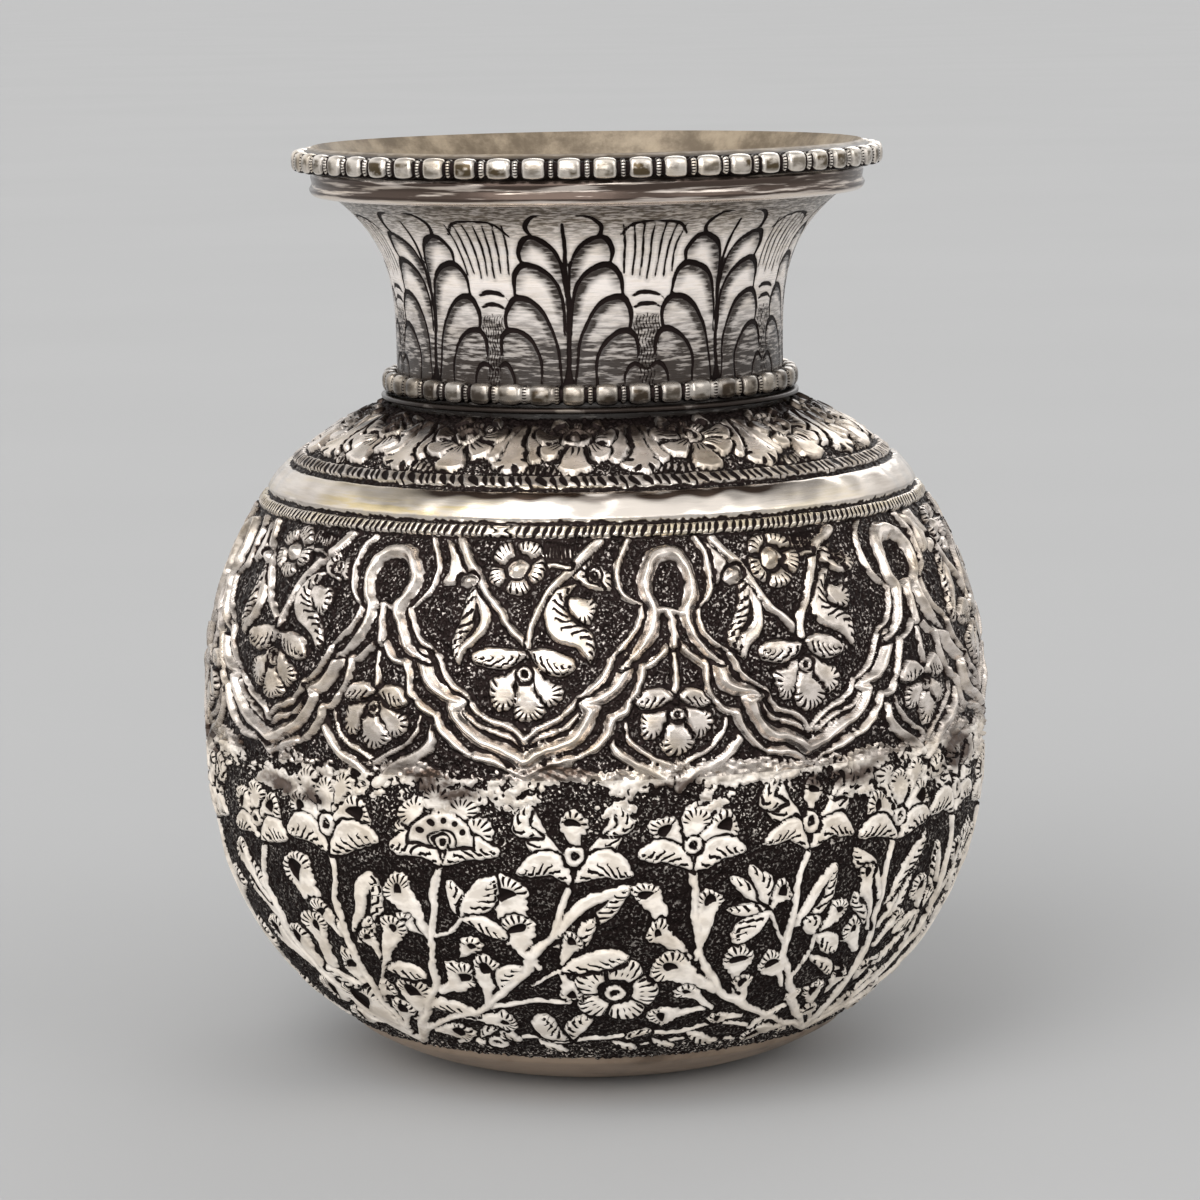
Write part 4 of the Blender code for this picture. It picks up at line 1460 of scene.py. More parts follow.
@dataclass
class BeadRing:
    """A ring of soldered beads, each with two grooves and a thin rib between it and the next.

    Attributes:
        radius: distance of the ring's middle from the axis, in millimetres.
        height: height of the ring's middle.
        count: number of beads.
        tall: height of a bead.
        deep: depth of a bead.
        worn: how unevenly the beads are worn and filled with solder, from 0 to 1.
        dullness_and_shade: how dark their metal is made, painted shade included, from 0 to 1.
        steps: columns from bead to bead.
    """

    radius: float
    height: float
    count: int
    tall: float
    deep: float
    worn: float
    dullness_and_shade: float
    steps: int = 24

    def build(self, name: str) -> bpy.types.Object:
        """Makes the ring: a rounded section carried round, whose size follows the beads' swell.

        Over one pitch the size is a barrel's root of 1 - x², with a groove at each end and a thin
        rib between two grooves.

        Args:
            name: name of the piece.

        Returns:
            The new object.
        """
        column = np.arange(self.count * self.steps)
        turn = column * 360.0 / len(column)
        place, number = (column % self.steps) / self.steps - 0.5, column // self.steps
        away = np.abs(place)
        worn = self.worn * (np.sin(number * 2.4 + 1.3 * np.sin(number * 1.1)) > 0.45)
        bead_end, rib_size = 0.375, 0.84
        groove = 0.075 - np.abs(away - bead_end)
        bead = np.sqrt(np.clip(1.0 - (place / 0.36) ** 2 * 0.5, 0.0, 1.0))
        size = np.where(away < bead_end, bead, rib_size)
        size = size - 0.3 * (1.0 - 0.6 * worn) * ramp(groove / 0.06 + 0.4)
        across, upright = section(22, 0.75)
        radius = self.radius + 0.5 * self.deep * across * size
        height = self.height + 0.5 * self.tall * upright * (0.3 + 0.7 * size)
        flat = 0.0 * radius
        pitch = 2 * math.pi * self.radius / self.count
        edge = -groove * pitch + 0.16 + 0.5 * worn + flat
        # Painted shadow: the underside of each bead is dark.
        edge = np.minimum(edge, 0.9 - 1.3 * ramp((-upright - 0.72) / 0.25))
        rib = ramp((away - 0.44) / 0.02)
        # Painted reflection: an olive patch in the middle of each bead's face.
        hollow = ramp((0.82 - np.abs(upright + 0.06)) / 0.4) * ramp((0.35 - away) / 0.14)
        hollow *= 0.8 + 0.2 * np.sin(1.9 * number)
        marks = {
            "edge": edge, "cut": flat + Sheet.REACH, "phase": 3.2 * upright + flat, "hatch": rib + flat,
            "warm": 1.3 * hollow, "patina": flat + self.dullness_and_shade,
        }
        return Skin(radius, height, turn, marks).build(name)


@dataclass
class Roll:
    """A plain rounded ring, such as a moulding or the ring that the neck sits on.

    Attributes:
        inner: radius of its inner side, in millimetres.
        outer: radius of its outer side.
        foot: height of its underside.
        top: height of its upper side.
        power: 1 for a round section, smaller for a squarer one.
        lean: how much further out the top stands than the foot.
        hollow: how deep its outer side is hollowed above its middle.
        dullness_and_shade: how dark its metal is made, painted shade included, from 0 to 1.
        painted_reflection_patches: degrees, width and strength of each painted highlight, a bright spot in
            the painted shade.
        columns: points round it.
    """

    inner: float
    outer: float
    foot: float
    top: float
    power: float = 0.6
    lean: float = 0.0
    hollow: float = 0.0
    dullness_and_shade: float = 0.0
    painted_reflection_patches: tuple[tuple[float, float, float], ...] = ((-14.0, 5.0, 1.0), (200.0, 9.0, 0.5))
    columns: int = 720

    def build(self, name: str) -> bpy.types.Object:
        """Makes the ring: a squared section carried round, hollowed on its outside, with painted shade there.
        """
        turn = np.arange(self.columns) * 360.0 / self.columns
        across, upright = section(56, self.power)
        deep, tall = 0.5 * (self.outer - self.inner), 0.5 * (self.top - self.foot)
        ripple = 0.04 * np.sin(np.radians(turn * 7)) + 0.03 * np.sin(np.radians(turn * 19 + 40))
        middle = 0.5 * (self.inner + self.outer) + 0.5 * self.lean * upright
        sunk = np.where(across > 0, ramp((upright + 0.45) / 0.5) * ramp((1.25 - upright) / 0.5), 0.0)
        radius = middle + deep * across + ripple * (across > 0) - self.hollow * sunk
        height = 0.5 * (self.top + self.foot) + tall * upright + 0 * radius
        # Painted highlights: spots where the painted shade on the hollow is lifted.
        bright = sum(
            share * np.exp(-(((turn - angle) / width) ** 2)) for angle, width, share in self.painted_reflection_patches
        )
        # Painted shade over the outside of a hollowed ring, down to its lower lip.
        shaded = (self.hollow > 0) * (across > -0.2) * ramp((upright + 0.78) / 0.3) * (1.0 - 0.8 * bright)
        whole = np.full(radius.shape, Sheet.REACH)
        patina = np.maximum(shaded, self.dullness_and_shade) + 0 * radius
        return Skin(radius, height, turn, {"edge": whole, "cut": whole, "patina": patina}).build(name)


@dataclass
class BasePlate:
    """The plain dished plate that the pot stands on.

    Attributes:
        outline: the bowls' profile.
        edge: millimetres down of its upper edge.
        columns: points round it.
        hole: radius in millimetres where the rows end, from which the faces run to the middle.
    """

    outline: BodyOutline
    edge: float
    columns: int = 672
    hole: float = 1.0

    def build(self, name: str) -> bpy.types.Object:
        """Makes the plate: the outline's foot, a flat to the middle, and the same moved inwards."""
        turn = np.arange(self.columns) * 360.0 / self.columns
        wall = self.outline.wall
        end = self.outline.course_down[-1]
        down = np.linspace(self.edge, end, 44)
        radius, height, out_r, out_z = self.outline.at(down)
        sink = 0.5 * (1.0 - ramp((down - self.edge) / 1.2))
        radius, height = radius - out_r * sink, np.maximum(height, 0.0) - out_z * sink
        flat = np.linspace(radius[-1], self.hole, 24)[1:]
        out_rows = np.concatenate([radius, flat])
        out_heights = np.concatenate([height, np.zeros(len(flat))])
        inner_r, inner_z, in_r, in_z = self.outline.at(np.linspace(self.edge, end, 12))
        inner_flat = np.linspace(inner_r[-1] - wall, self.hole, 12)[1:]
        up_r = np.concatenate([inner_r - wall * in_r, inner_flat])
        up_z = np.concatenate([np.maximum(inner_z - wall * in_z, wall), np.full(len(inner_flat), wall)])
        rows_r = np.concatenate([up_r[::-1], out_rows])[:, None]
        rows_z = np.concatenate([up_z[::-1], out_heights])[:, None]
        level = np.ones((1, len(turn)))
        inner = np.concatenate([np.ones(len(up_r)), np.zeros(len(out_rows))])[:, None] * level
        whole = np.full(inner.shape, Sheet.REACH)
        marks = {"edge": whole, "cut": whole, "inner": inner}
        corners = (len(up_r) - 1, len(up_r))
        return Skin(rows_r * level, rows_z * level, turn, marks, corners, poles=True).build(name)


Colour = tuple[float, float, float, float]
Triple = tuple[float, float, float]
Socket = bpy.types.NodeSocket


@dataclass
class Bench:
    """Sets out and joins shader nodes in one tree, from left to right."""

    tree: bpy.types.NodeTree
    placed: int = 0

    def add(self, kind: str, values: dict | None = None, **settings: object) -> bpy.types.Node:
        """Adds a node, with its settings, and its inputs by name or number.

        Args:
            kind: the node's type name.
            values: inputs to set to a number, or to join to an output.
            settings: the node's own settings.

        Returns:
            The new node.
        """
        node = self.tree.nodes.new(kind)
        node.location = (190 * (self.placed // 4), -230 * (self.placed % 4))
        self.placed += 1
        for name, value in settings.items():
            setattr(node, name, value)
        for key, value in (values or {}).items():
            if isinstance(value, Socket):
                self.tree.links.new(value, node.inputs[key])
            else:
                node.inputs[key].default_value = value
        return node

    def step(self, operation: str, first: object, second: object = 0.0, clamp: bool = False) -> Socket:
        """One step of arithmetic on two numbers or outputs."""
        values = {0: first, 1: second}
        return self.add("ShaderNodeMath", values, operation=operation, use_clamp=clamp).outputs[0]

    def times(self, *factors: object, clamp: bool = False) -> Socket:
        """Multiplies numbers and outputs, and limits the product to 0 to 1 where clamp is set."""
        return self.chain("MULTIPLY", factors, clamp)

    def plus(self, *terms: object, clamp: bool = False) -> Socket:
        """Adds numbers and outputs, and limits the sum to 0 to 1 where clamp is set."""
        return self.chain("ADD", terms, clamp)

    def chain(self, operation: str, values: Sequence[object], clamp: bool) -> Socket:
        """Carries one operation through all the values, from left to right."""
        total = values[0]
        for value in values[1:-1]:
            total = self.step(operation, total, value)
        return self.step(operation, total, values[-1], clamp)

    def between(self, value: object, low: float, high: float, start: float = 0.0, end: float = 1.0) -> Socket:
        """Goes smoothly from start to end while the value goes from low to high."""
        values = {"Value": value, "From Min": low, "From Max": high, "To Min": start, "To Max": end}
        node = self.add("ShaderNodeMapRange", values, interpolation_type="SMOOTHSTEP")
        return node.outputs["Result"]

    def blend(self, share: object, first: object, second: object) -> Socket:
        """Mixes two colours by a share."""
        node = self.add("ShaderNodeMix", {"Factor": share, 6: first, 7: second}, data_type="RGBA")
        return node.outputs[2]

    def mark(self, name: str) -> Socket:
        """Reads a value that a piece's mesh carries."""
        return self.add("ShaderNodeAttribute", attribute_name=name).outputs["Fac"]

    def noise(self, vector: object, scale: float, detail: float = 3.0, rough: float = 0.55) -> Socket:
        """Soft noise from 0 to 1 at a number of waves to the metre."""
        values = {"Vector": vector, "Scale": scale, "Detail": detail, "Roughness": rough}
        return self.add("ShaderNodeTexNoise", values).outputs[0]

    def stretch(self, vector: object, factors: object) -> Socket:
        """Multiplies a place by a factor in each direction, so that noise there is stretched."""
        return self.add("ShaderNodeVectorMath", {0: vector, 1: factors}, operation="MULTIPLY").outputs[0]


def fresh_material(name: str) -> tuple[bpy.types.Material, Bench]:
    """Starts an empty material, with a bench for its nodes."""
    material = bpy.data.materials.new(name)
    material.use_nodes = True
    material.node_tree.nodes.clear()
    return material, Bench(material.node_tree)


class Effect(Bench):
    """A node group under way, with its named inputs ready to join."""

    def __init__(self, name: str, numbers: Sequence[str], vectors: Sequence[str] = ()) -> None:
        """Starts the group.

        Args:
            name: the group's name.
            numbers: names of the inputs that are numbers.
            vectors: names of the inputs that are vectors.
        """
        super().__init__(bpy.data.node_groups.new(name, "ShaderNodeTree"))
        for titles, kind in ((vectors, "NodeSocketVector"), (numbers, "NodeSocketFloat")):
            for title in titles:
                self.tree.interface.new_socket(title, in_out="INPUT", socket_type=kind)
        self.start = self.add("NodeGroupInput").outputs

    def close(self, outputs: dict[str, Socket]) -> bpy.types.NodeTree:
        """Gives the group its named outputs, all of them numbers, and hands it over."""
        for title in outputs:
            self.tree.interface.new_socket(title, in_out="OUTPUT", socket_type="NodeSocketFloat")
        self.add("NodeGroupOutput", outputs)
        return self.tree


class Effects:
    """The effects that the finishes share, each built once."""

    def __init__(self) -> None:
        """Builds each effect."""
        self.chasing = self.build_chasing()
        self.punching = self.build_punching()
        self.tarnish = self.build_tarnish()
        self.scratches = self.build_scratches()

    @staticmethod
    def build_chasing() -> bpy.types.NodeTree:
        """Turns distances into the share of dark oxide, and the height that goes with it."""
        bench = Effect("Chased marks", ("Edge", "Cut", "Phase", "Hatch", "Soft"))
        start = bench.start
        jitter = bench.times(bench.step("SUBTRACT", start["Soft"], 0.5), 0.22)
        edge = bench.plus(start["Edge"], jitter)
        ground = bench.between(edge, 0.0, 0.13, 1.0, 0.0)
        line = bench.between(bench.plus(start["Cut"], jitter), 0.0, 0.13, 1.0, 0.0)
        turned = bench.step("FRACT", bench.plus(start["Phase"], 0.5))
        stroke = bench.step("ABSOLUTE", bench.step("SUBTRACT", turned, 0.5))
        past = bench.step("SUBTRACT", stroke, bench.times(start["Hatch"], 0.2))
        strokes = bench.between(past, -0.04, 0.05, 1.0, 0.0)
        strokes = bench.times(strokes, bench.between(start["Hatch"], 0.03, 0.15))
        dark = bench.step("MAXIMUM", bench.step("MAXIMUM", ground, line), strokes, clamp=True)
        near = bench.step("MINIMUM", edge, bench.times(start["Cut"], 0.7))
        return bench.close({
            "Dark": dark,
            "Ground": bench.times(ground, bench.between(edge, -0.6, -0.1, 1.0, 0.0)),
            "Edge Shade": bench.between(near, 0.05, 0.62, 1.0, 0.0),
            "Middle": bench.between(edge, 0.2, 0.75),
            "Height": bench.step("SUBTRACT", 1.0, dark),
        })

    @staticmethod
    def build_punching() -> bpy.types.NodeTree:
        """Dots punched close together: bright specks stand on the ridges between them."""
        bench = Effect("Punched ground", ("Dots", "Bright"), ("Vector",))
        place = bench.start["Vector"]
        cells = {"Vector": place, "Scale": bench.start["Dots"], "Randomness": 0.95}
        near = bench.add("ShaderNodeTexVoronoi", cells, feature="F1").outputs["Distance"]
        ridge = bench.between(near, 0.34, 0.62)
        patch = bench.between(bench.noise(place, 260.0, 2.0), 0.36, 0.6, 0.25, 1.0)
        fine = bench.between(bench.noise(place, 2300.0, 2.0), 0.52, 0.64)
        speck = bench.times(ridge, patch, fine, bench.start["Bright"], clamp=True)
        return bench.close({"Speck": speck, "Height": ridge})

    @staticmethod
    def build_tarnish() -> bpy.types.NodeTree:
        """Patches and streaks where the silver has gone yellow and brown."""
        bench = Effect("Tarnish", ("Amount",), ("Vector", "Streaks"))
        stretched = bench.stretch(bench.start["Vector"], bench.start["Streaks"])
        broad, small = bench.noise(stretched, 34.0, 4.0), bench.noise(stretched, 190.0, 3.0)
        mixed = bench.plus(bench.times(broad, 0.62), bench.times(small, 0.38))
        amount = bench.start["Amount"]
        return bench.close({
            "Yellow": bench.times(bench.between(mixed, 0.44, 0.64), amount, clamp=True),
            "Brown": bench.times(bench.between(mixed, 0.55, 0.72), amount, clamp=True),
        })

    @staticmethod
    def build_scratches() -> bpy.types.NodeTree:
        """Fine level scratches, stretched round the pot, and a slight hammered waviness."""
        bench = Effect("Scratches", (), ("Vector", "Streaks"))
        fine = bench.noise(bench.stretch(bench.start["Vector"], bench.start["Streaks"]), 160.0, 5.0, 0.7)
        return bench.close({
            "Scratch": bench.between(fine, 0.35, 0.75),
            "Wave": bench.noise(bench.start["Vector"], 120.0, 2.0),
        })


@dataclass(frozen=True)
class SilverFinish:
    """One state of the silver: its colours, its oxide, how it is worn, and the shade and reflections painted
    on it.

    Attributes:
        name: the material's name.
        bright: colour of the bare polished metal.
        yellow: colour where it is lightly tarnished.
        brown: colour where it is deeply tarnished, and of the painted shade near edges and on dulled parts.
        olive: colour of the painted reflection in the middle of a wide form.
        oxide: colour of the dark in the ground and the cuts.
        lining: colour of the inside.
        gloss: roughness of the rubbed metal.
        metallic: how far it is bare metal, less than 1 where a thin white bloom scatters light.
        patchy: the least that the olive painted reflection and the dullness and painted shade cover, 1 for an
            even cover.
        tarnish: how much tarnish there is, from 0 to 1.
        edge_tarnish_and_shade: how dark the metal gets close to an edge, painted shade and tarnish together,
            from 0 to 1.
        specks: how bright the punched ground's ridges are, from 0 to 1.
        dots: punched dots to the metre.
        streaks: stretch of the tarnish in each direction.
        scratches: stretch of the scratches in each direction.
        scratched: depth of the scratches, from 0 to 1.
        relief: height in metres of the deepest mark that the material itself makes.
    """

    name: str
    bright: Colour = (1.0, 0.905, 0.83, 1.0)
    yellow: Colour = (0.82, 0.67, 0.48, 1.0)
    brown: Colour = (0.085, 0.058, 0.044, 1.0)
    olive: Colour = (0.11, 0.08, 0.043, 1.0)
    oxide: Colour = (0.02, 0.014, 0.013, 1.0)
    lining: Colour = (0.138, 0.102, 0.064, 1.0)
    gloss: float = 0.26
    metallic: float = 0.8
    patchy: float = 0.35
    tarnish: float = 0.6
    edge_tarnish_and_shade: float = 0.75
    specks: float = 1.1
    dots: float = 1600.0
    streaks: Triple = (1.0, 1.0, 1.6)
    scratches: Triple = (1.0, 1.0, 14.0)
    scratched: float = 0.3
    relief: float = 0.00012

    def material(self, effects: Effects) -> bpy.types.Material:
        """Builds the material: the marks choose between polished metal and oxide, and add painted shade and
        reflections.

        Args:
            effects: the shared effects.

        Returns:
            The new material.
        """
        material, bench = fresh_material(self.name)
        place = bench.add("ShaderNodeTexCoord").outputs["Object"]
        marks = {name.title(): bench.mark(name) for name in ("edge", "cut", "phase", "hatch")}
        marks["Soft"] = bench.noise(place, 700.0, 2.0)
        dotted = {"Vector": place, "Dots": self.dots, "Bright": self.specks}
        patches = {"Vector": place, "Streaks": self.streaks, "Amount": self.tarnish}
        pulls = {"Vector": place, "Streaks": self.scratches}
        chasing, punching, tarnish, scratches = (
            bench.add("ShaderNodeGroup", values, node_tree=tree).outputs
            for tree, values in (
                (effects.chasing, marks), (effects.punching, dotted),
                (effects.tarnish, patches), (effects.scratches, pulls),
            )
        )
        dark, inner = chasing["Dark"], bench.mark("inner")

        metal = bench.blend(tarnish["Yellow"], self.bright, self.yellow)
        metal = bench.blend(tarnish["Brown"], metal, self.brown)
        # Painted reflection: olive in the middle of wide forms, in patches.
        pulled = bench.stretch(place, self.streaks)
        painted_reflection_patches = bench.between(bench.noise(pulled, 300.0, 3.0), 0.38, 0.6, 0.3 * self.patchy, 1.0)
        metal = bench.blend(bench.times(chasing["Middle"], bench.mark("warm"), painted_reflection_patches), metal, self.olive)
        # Painted shade and tarnish darken the metal near form edges and cut lines; the dulling mark adds
        # tarnish and painted shade.
        smudge = bench.between(bench.noise(place, 420.0, 3.0), 0.3, 0.7, 0.35, 1.0)
        shade = bench.times(chasing["Edge Shade"], self.edge_tarnish_and_shade, smudge)
        cover = bench.between(bench.noise(pulled, 150.0, 4.0), 0.34, 0.64, self.patchy, 1.7)
        dullness_and_shade = bench.times(bench.mark("patina"), cover, clamp=True)
        metal = bench.blend(bench.step("MAXIMUM", shade, dullness_and_shade, clamp=True), metal, self.brown)
        specks = bench.times(punching["Speck"], chasing["Ground"], bench.mark("grain"))
        ground = bench.blend(specks, self.oxide, self.bright)
        worn = bench.between(bench.noise(place, 130.0, 6.0, 0.7), 0.35, 0.7, 0.0, 0.34)
        lining = bench.blend(worn, self.lining, self.yellow)
        colour = bench.blend(inner, bench.blend(dark, metal, ground), lining)

        scratch = scratches["Scratch"]
        rough = bench.plus(
            self.gloss, bench.times(scratch, 0.12), bench.times(dark, 0.3), bench.times(inner, 0.2),
            clamp=True,
        )
        dots = bench.times(punching["Height"], chasing["Ground"], 0.9)
        grain = bench.times(scratch, 0.12 * self.scratched)
        height = bench.plus(chasing["Height"], dots, grain, bench.times(scratches["Wave"], 0.9))
        bump = bench.add("ShaderNodeBump", {"Height": height, "Strength": 1.0, "Distance": self.relief})
        shader = bench.add("ShaderNodeBsdfPrincipled", {
            "Base Color": colour, "Roughness": rough, "Normal": bump.outputs[0],
            "Metallic": bench.between(dark, 0.0, 1.0, self.metallic, 1.0),
        })
        bench.add("ShaderNodeOutputMaterial", {"Surface": shader.outputs[0]})
        return material


@dataclass
class Studio:
    """The plain pale floor, the soft light, and the camera at the photograph's angle.

    Attributes:
        grey: brightness of the floor and of what lies behind it.
        ambient: strength of the even light from all round.
        lens: focal length on a sensor 36 mm wide.
        place: where the camera stands, in metres.
        pitch: degrees that it looks down.
        roll: degrees that it is turned about its own line of sight.
        shift: how far the frame is moved level, as a share of its width.
        floor_size: half the floor's width, in metres.
        lamps: name, direction, width in degrees and strength of each lamp.
    """

    grey: float = 0.462
    ambient: float = 0.95
    lens: float = 133.74
    place: Triple = (0.0, -0.7308, 0.1799)
    pitch: float = 8.177
    roll: float = -0.88
    shift: float = 6.4 / 1200
    floor_size: float = 30.0
    lamps: tuple[tuple[str, Triple, float, float], ...] = (
        ("key", (-0.5, -0.75, 1.1), 34.0, 0.72),
        ("fill", (0.9, -0.7, 0.6), 34.0, 0.3),
        ("front", (-0.3, -1.0, 0.2), 60.0, 1.7),
        ("back", (0.3, 1.0, 0.7), 40.0, 0.5),
    )

    def build(self) -> None:
        """Makes the floor, the world, the lamps and the camera."""
        self.floor()
        self.world()
        for name, place, spread, strength in self.lamps:
            self.lamp(name, place, spread, strength)
        self.camera()
        bpy.context.scene.view_settings.view_transform = "Standard"

    def floor(self) -> None:
        """A wide pale floor under the pot, of one even grey."""
        size = self.floor_size
        mesh = bpy.data.meshes.new("floor")
        corners = [(-size, -size, 0.0), (size, -size, 0.0), (size, size, 0.0), (-size, size, 0.0)]
        mesh.from_pydata(corners, [], [(0, 1, 2, 3)])
        piece = bpy.data.objects.new("floor", mesh)
        bpy.context.scene.collection.objects.link(piece)
        material, bench = fresh_material("pale_floor")
        place = bench.add("ShaderNodeTexCoord").outputs["Object"]
        tone = bench.between(bench.noise(place, 3.0), 0.3, 0.7)
        low, high = ((self.grey * share, self.grey * share, self.grey * share, 1.0) for share in (0.99, 1.01))
        shader = bench.add("ShaderNodeBsdfPrincipled", {
            "Base Color": bench.blend(tone, low, high), "Roughness": 0.9, "Specular IOR Level": 0.0,
        })
        bench.add("ShaderNodeOutputMaterial", {"Surface": shader.outputs[0]})
        mesh.materials.append(material)

    def world(self) -> None:
        """Light from a pale tent that is dimmer near the floor, and behind and above the pot."""
        world = bpy.data.worlds.new("studio")
        world.use_nodes = True
        bpy.context.scene.world = world
        world.node_tree.nodes.clear()
        bench = Bench(world.node_tree)
        way = bench.add("ShaderNodeTexCoord").outputs["Generated"]
        parts = bench.add("ShaderNodeSeparateXYZ", {0: way}).outputs
        low = bench.between(parts["Z"], 0.02, 0.3, 0.8, 1.05)
        top = bench.between(parts["Z"], 0.45, 0.75)
        behind = bench.between(parts["Y"], -0.22, 0.1)
        dim = bench.step("SUBTRACT", 1.0, bench.times(top, behind, 0.62))
        strength = bench.times(low, dim, self.ambient)
        light = bench.add("ShaderNodeBackground", {"Color": (1.0, 1.0, 1.0, 1.0), "Strength": strength})
        bench.add("ShaderNodeOutputWorld", {"Surface": light.outputs[0]})

    def lamp(self, name: str, place: Triple, spread: float, strength: float) -> None:
        """A soft lamp far away, in the direction of a place, with its width in degrees."""
        light = bpy.data.lights.new(name, "SUN")
        light.angle = math.radians(spread)
        light.energy = strength
        piece = bpy.data.objects.new(name, light)
        piece.location = place
        piece.rotation_euler = Vector(place).to_track_quat("Z", "Y").to_euler()
        bpy.context.scene.collection.objects.link(piece)

    def camera(self) -> None:
        """The camera: level to the pot's side, tilted down and slightly rolled."""
        camera = bpy.data.cameras.new("camera")
        camera.sensor_fit = "HORIZONTAL"
        camera.sensor_width = 36.0
        camera.lens = self.lens
        camera.shift_x = self.shift
        camera.clip_end = 100.0
        piece = bpy.data.objects.new("camera", camera)
        piece.location = self.place
        look = Euler((math.radians(90.0 - self.pitch), 0.0, 0.0)).to_matrix()
        roll = Euler((0.0, 0.0, math.radians(self.roll))).to_matrix()
        piece.rotation_euler = (look @ roll).to_euler()
        bpy.context.scene.collection.objects.link(piece)
        bpy.context.scene.camera = piece


CHASED = SilverFinish("chased_silver_skin", gloss=0.2, metallic=0.9, edge_tarnish_and_shade=1.0, patchy=0.5, specks=0.65)
# The shoulder's dark brown is the colour of its painted shade towards the neck.
SHOULDER = SilverFinish("shoulder_painted_shade", brown=(0.04, 0.028, 0.022, 1.0), patchy=0.75)
GARDEN = SilverFinish(
    "rubbed_garden", bright=(1.0, 0.925, 0.84, 1.0), olive=(0.36, 0.29, 0.21, 1.0), gloss=0.34,
    metallic=0.1, tarnish=0.35, edge_tarnish_and_shade=0.5,
)
BAND = SilverFinish(
    "rubbed_band", bright=(0.85, 0.77, 0.69, 1.0), yellow=(0.8, 0.65, 0.34, 1.0),
    olive=(0.86, 0.7, 0.4, 1.0), gloss=0.16, metallic=1.0, patchy=0.7, tarnish=0.6, edge_tarnish_and_shade=0.35,
    streaks=(0.35, 0.35, 4.0), scratched=0.5,
)
# The neck's brown is the colour of its painted shade, under the lip, towards the foot and beside the leaves'
# lines.
ENGRAVED = SilverFinish(
    "engraved_neck", bright=(1.0, 0.92, 0.86, 1.0), brown=(0.028, 0.019, 0.014, 1.0), gloss=0.26,
    metallic=0.08, patchy=0.85, tarnish=0.25, edge_tarnish_and_shade=0.4, specks=0.9, streaks=(2.2, 2.2, 15.0),
    scratches=(1.0, 1.0, 24.0), scratched=1.0,
)
# The moulding's brown is the colour of the painted shade in its hollow.
MOULDING = SilverFinish(
    "darkened_moulding", bright=(0.97, 0.86, 0.77, 1.0), brown=(0.085, 0.06, 0.048, 1.0), gloss=0.15,
    patchy=0.3, tarnish=0.5, streaks=(0.5, 0.5, 9.0), scratched=0.5,
)
# The beads' olive is the colour of the painted reflection in their middles.
BEADS = SilverFinish(
    "worn_beads", bright=(1.0, 0.92, 0.83, 1.0), brown=(0.035, 0.025, 0.02, 1.0), gloss=0.18,
    metallic=0.85, patchy=1.0, tarnish=0.7, edge_tarnish_and_shade=0.9,
)
# Dark brown all over: a painted shadow under the neck's beads.
SEAT_RING_SHADOW = SilverFinish(
    "seat_ring_painted_shadow", brown=(0.03, 0.022, 0.018, 1.0), gloss=0.25, patchy=0.9, tarnish=0.9,
)
PLAIN = SilverFinish(
    "unpolished_base", bright=(0.48, 0.37, 0.28, 1.0), yellow=(0.3, 0.22, 0.16, 1.0),
    brown=(0.08, 0.06, 0.045, 1.0), gloss=0.36, tarnish=0.8, edge_tarnish_and_shade=0.0, scratched=1.0,
)


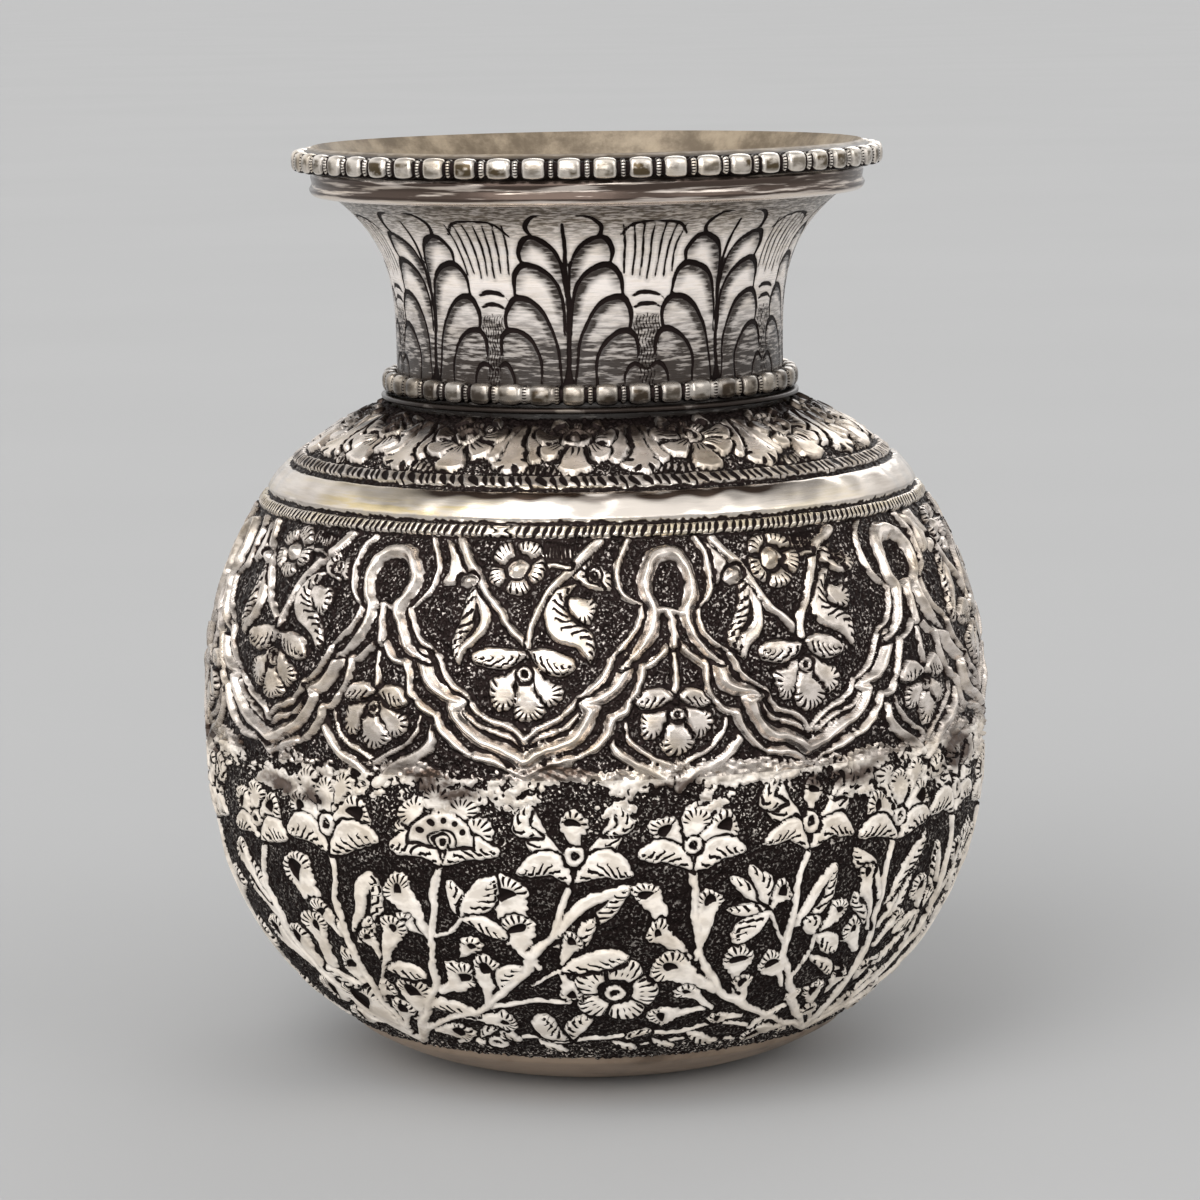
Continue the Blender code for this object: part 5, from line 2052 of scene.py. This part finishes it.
@dataclass
class Pot:
    """The whole pot: it chases the bowls and the neck, and sets the rings on them.

    Attributes:
        effects: the shared shader effects.
        body: the bowls' profile.
        neck: the neck's profile.
        columns: points round the bowls.
        neck_columns: points round the neck.
        row: millimetres between the rows of the bowls' skin.
        top: millimetres down of the skin's upper edge.
        foot: millimetres down of its lower edge, where the base plate starts.
        ground: how far the sunk ground lies under the bowls' profile.
        band: millimetres down of the polished band's upper and lower edge.
        metals: the materials made so far, by name.
    """

    effects: Effects
    body: BodyOutline = field(default_factory=BodyOutline)
    neck: NeckOutline = field(default_factory=NeckOutline)
    columns: int = 1344
    neck_columns: int = 896
    row: float = 0.3
    top: float = -18.6
    foot: float = 103.8
    ground: float = 0.55
    band: tuple[float, float] = (0.6, 5.9)
    metals: dict[str, bpy.types.Material] = field(default_factory=dict)

    def chase_body(self) -> Sheet:
        """Chases the bowls, from the shoulder to the base, wears them, and paints shade and reflections on
        them.
        """
        count = round((self.foot - self.top) / self.row)
        down = self.top + np.arange(count + 1) * self.row
        turn = -180.0 + np.arange(self.columns) * 360.0 / self.columns
        sheet = Sheet(turn, down, self.body.at(down)[0])
        ropes = (
            RopeBand(-2.9, -0.35, 1.9, 0.6, 0.16, 0.3),
            RopeBand(6.6, 8.8, 1.25, -0.55, 0.0, 0.24, splice=-15.0),
        )
        for ornament in (ShoulderOrnament(), Garden(), Arcade(), SolderSeam(), PolishedBand(), *ropes):
            ornament.draw(sheet)
        sheet.grain = sheet.by_row({-17: 0, -10: 0.7, 5: 1, 44: 1, 54: 0.85, 64: 0.3, 95: 0.3, 101: 1})
        # Painted shade: the shoulder darkens towards the neck, and the skin darkens again at its foot.
        dullness_and_shade = sheet.by_row({-19: 1.0, -14: 0.85, -9: 0.15, -6: 0.0, 100: 0.0, 103.8: 0.5})
        sheet.patina = np.maximum(sheet.patina, dullness_and_shade)
        # Painted reflection: olive in the middle of wide forms, by rows; on the polished band's lower half it
        # is yellow.
        sheet.warm = sheet.by_row({
            -18: 0.5, -4: 0.3, 3.0: 0.3, 3.5: 0.9, 5.2: 0.9, 5.9: 0.6, 8: 0.2, 9: 0.6, 40: 0.45, 52: 0.6,
            66: 0.4, 90: 0.3, 100: 0.8,
        })
        # The band's yellow painted reflection lies on its left, with a little more further right.
        patches = ramp((24.0 - np.abs(turn + 34.0)) / 8.0) + 0.3 * ramp((14.0 - np.abs(turn - 44.0)) / 8.0)
        sheet.warm[(down > self.band[0]) & (down < self.band[1])] *= patches
        sheet.rise *= sheet.by_row({48: 1.0, 58: 0.7}) * (1.0 + 0.07 * sheet.ripple(21, 7.0))
        sheet.rise += 0.11 * sheet.ripple(22, 1.5) * ramp(0.5 - sheet.edge)
        sheet.edge += (0.06 * sheet.ripple(23, 3.0) + 0.06 * sheet.ripple(24, 1.3)) * (sheet.edge > 0)
        return sheet

    def chase_neck(self) -> Sheet:
        """Engraves the neck, with a steadier hand, and paints shade on it under the lip and towards its foot.
        """
        steady, hidden = 0.35, 0.3
        down = np.linspace(self.neck.course_down[0] + hidden, self.neck.course_down[-1], 104)
        turn = -180.0 + np.arange(self.neck_columns) * 360.0 / self.neck_columns
        sheet = Sheet(turn, down, self.neck.at(down)[0])
        sheet.sway *= steady
        sheet.sag *= steady
        # Painted shade by rows: under the lip moulding, and again towards the foot.
        sheet.patina = sheet.by_row({
            -1: 1.6, 1: 1.2, 3: 0.5, 7.5: 0.3, 9.5: 0.12, 13: 0, 20: 0.05, 27: 0.45, 33: 0.8, 37: 1.0,
        })
        # Olive painted shade at the top, under the moulding.
        sheet.warm = sheet.by_row({8: 0.9, 10: 0.7, 14: 0.0})
        NeckEngraving().draw(sheet)
        return sheet

    def build(self) -> None:
        """Builds every piece, dresses it, and seats it on the frame."""
        sheet = self.chase_body()
        LOG.info("chased the bowls: %d rows by %d columns", *sheet.rise.shape)
        parts = (
            ("shoulder_skin", self.top, "upper_bowl", SHOULDER),
            ("polished_band", -0.6, "upper_bowl", BAND),
            ("arcade_upper", 8.7, "upper_bowl", CHASED),
            ("arcade_lower", 27.0, "upper_bowl", CHASED),
            ("garden_upper", 46.8, "lower_bowl", GARDEN),
            ("garden_middle", 66.0, "lower_bowl", GARDEN),
            ("garden_lower", 85.2, "lower_bowl", GARDEN),
        )
        feet = [top for _, top, _, _ in parts[1:]] + [self.foot]
        for (name, top, node, finish), foot in zip(parts, feet):
            piece = chased_shell(sheet, self.body, top, foot, self.ground).build(name)
            self.seat(piece, finish, node)
        engraved = self.chase_neck()
        neck = chased_shell(engraved, self.neck, engraved.down[0], engraved.down[-1], 0.0)
        self.seat(neck.build("engraved_neck"), ENGRAVED, "neck_tube")
        base = BasePlate(self.body, self.foot)
        self.seat(base.build("standing_base"), PLAIN, "base_plate")
        rings = (
            # The lip moulding carries painted shade in its hollow, broken by painted highlights.
            ("lip_moulding", Roll(41.2, 45.6, 142.3, 146.5, 0.5, 1.0, 0.7), MOULDING, "rim_moulding"),
            # The seat ring is darkened all over, a painted shadow under the neck's beads.
            ("seat_ring", Roll(32.0, 34.3, 109.2, 110.2, 0.7, dullness_and_shade=1.0), SEAT_RING_SHADOW, "neck_seat_ring"),
            ("lip_beads", BeadRing(47.0, 148.25, 54, 3.4, 2.6, 0.3, 0.1), BEADS, "rim_bead_ring"),
            ("neck_beads", BeadRing(32.9, 112.15, 40, 3.5, 2.6, 1.0, 0.48), BEADS, "neck_bead_ring"),
        )
        for name, ring, finish, node in rings:
            self.seat(ring.build(name), finish, node)

    def seat(self, piece: bpy.types.Object, finish: SilverFinish, node: str) -> None:
        """Dresses a piece, and makes it stand for its node on the frame."""
        if finish.name not in self.metals:
            self.metals[finish.name] = finish.material(self.effects)
        piece.data.materials.append(self.metals[finish.name])
        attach(piece, "root")
        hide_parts(node)
        LOG.info("%s: %d faces, for %s", piece.name, len(piece.data.polygons), node)


def main() -> None:
    """Builds the studio and the pot."""
    logging.basicConfig(level=logging.INFO, format="%(name)s: %(message)s")
    Studio().build()
    Pot(Effects()).build()


if __name__ == "__main__":
    main()
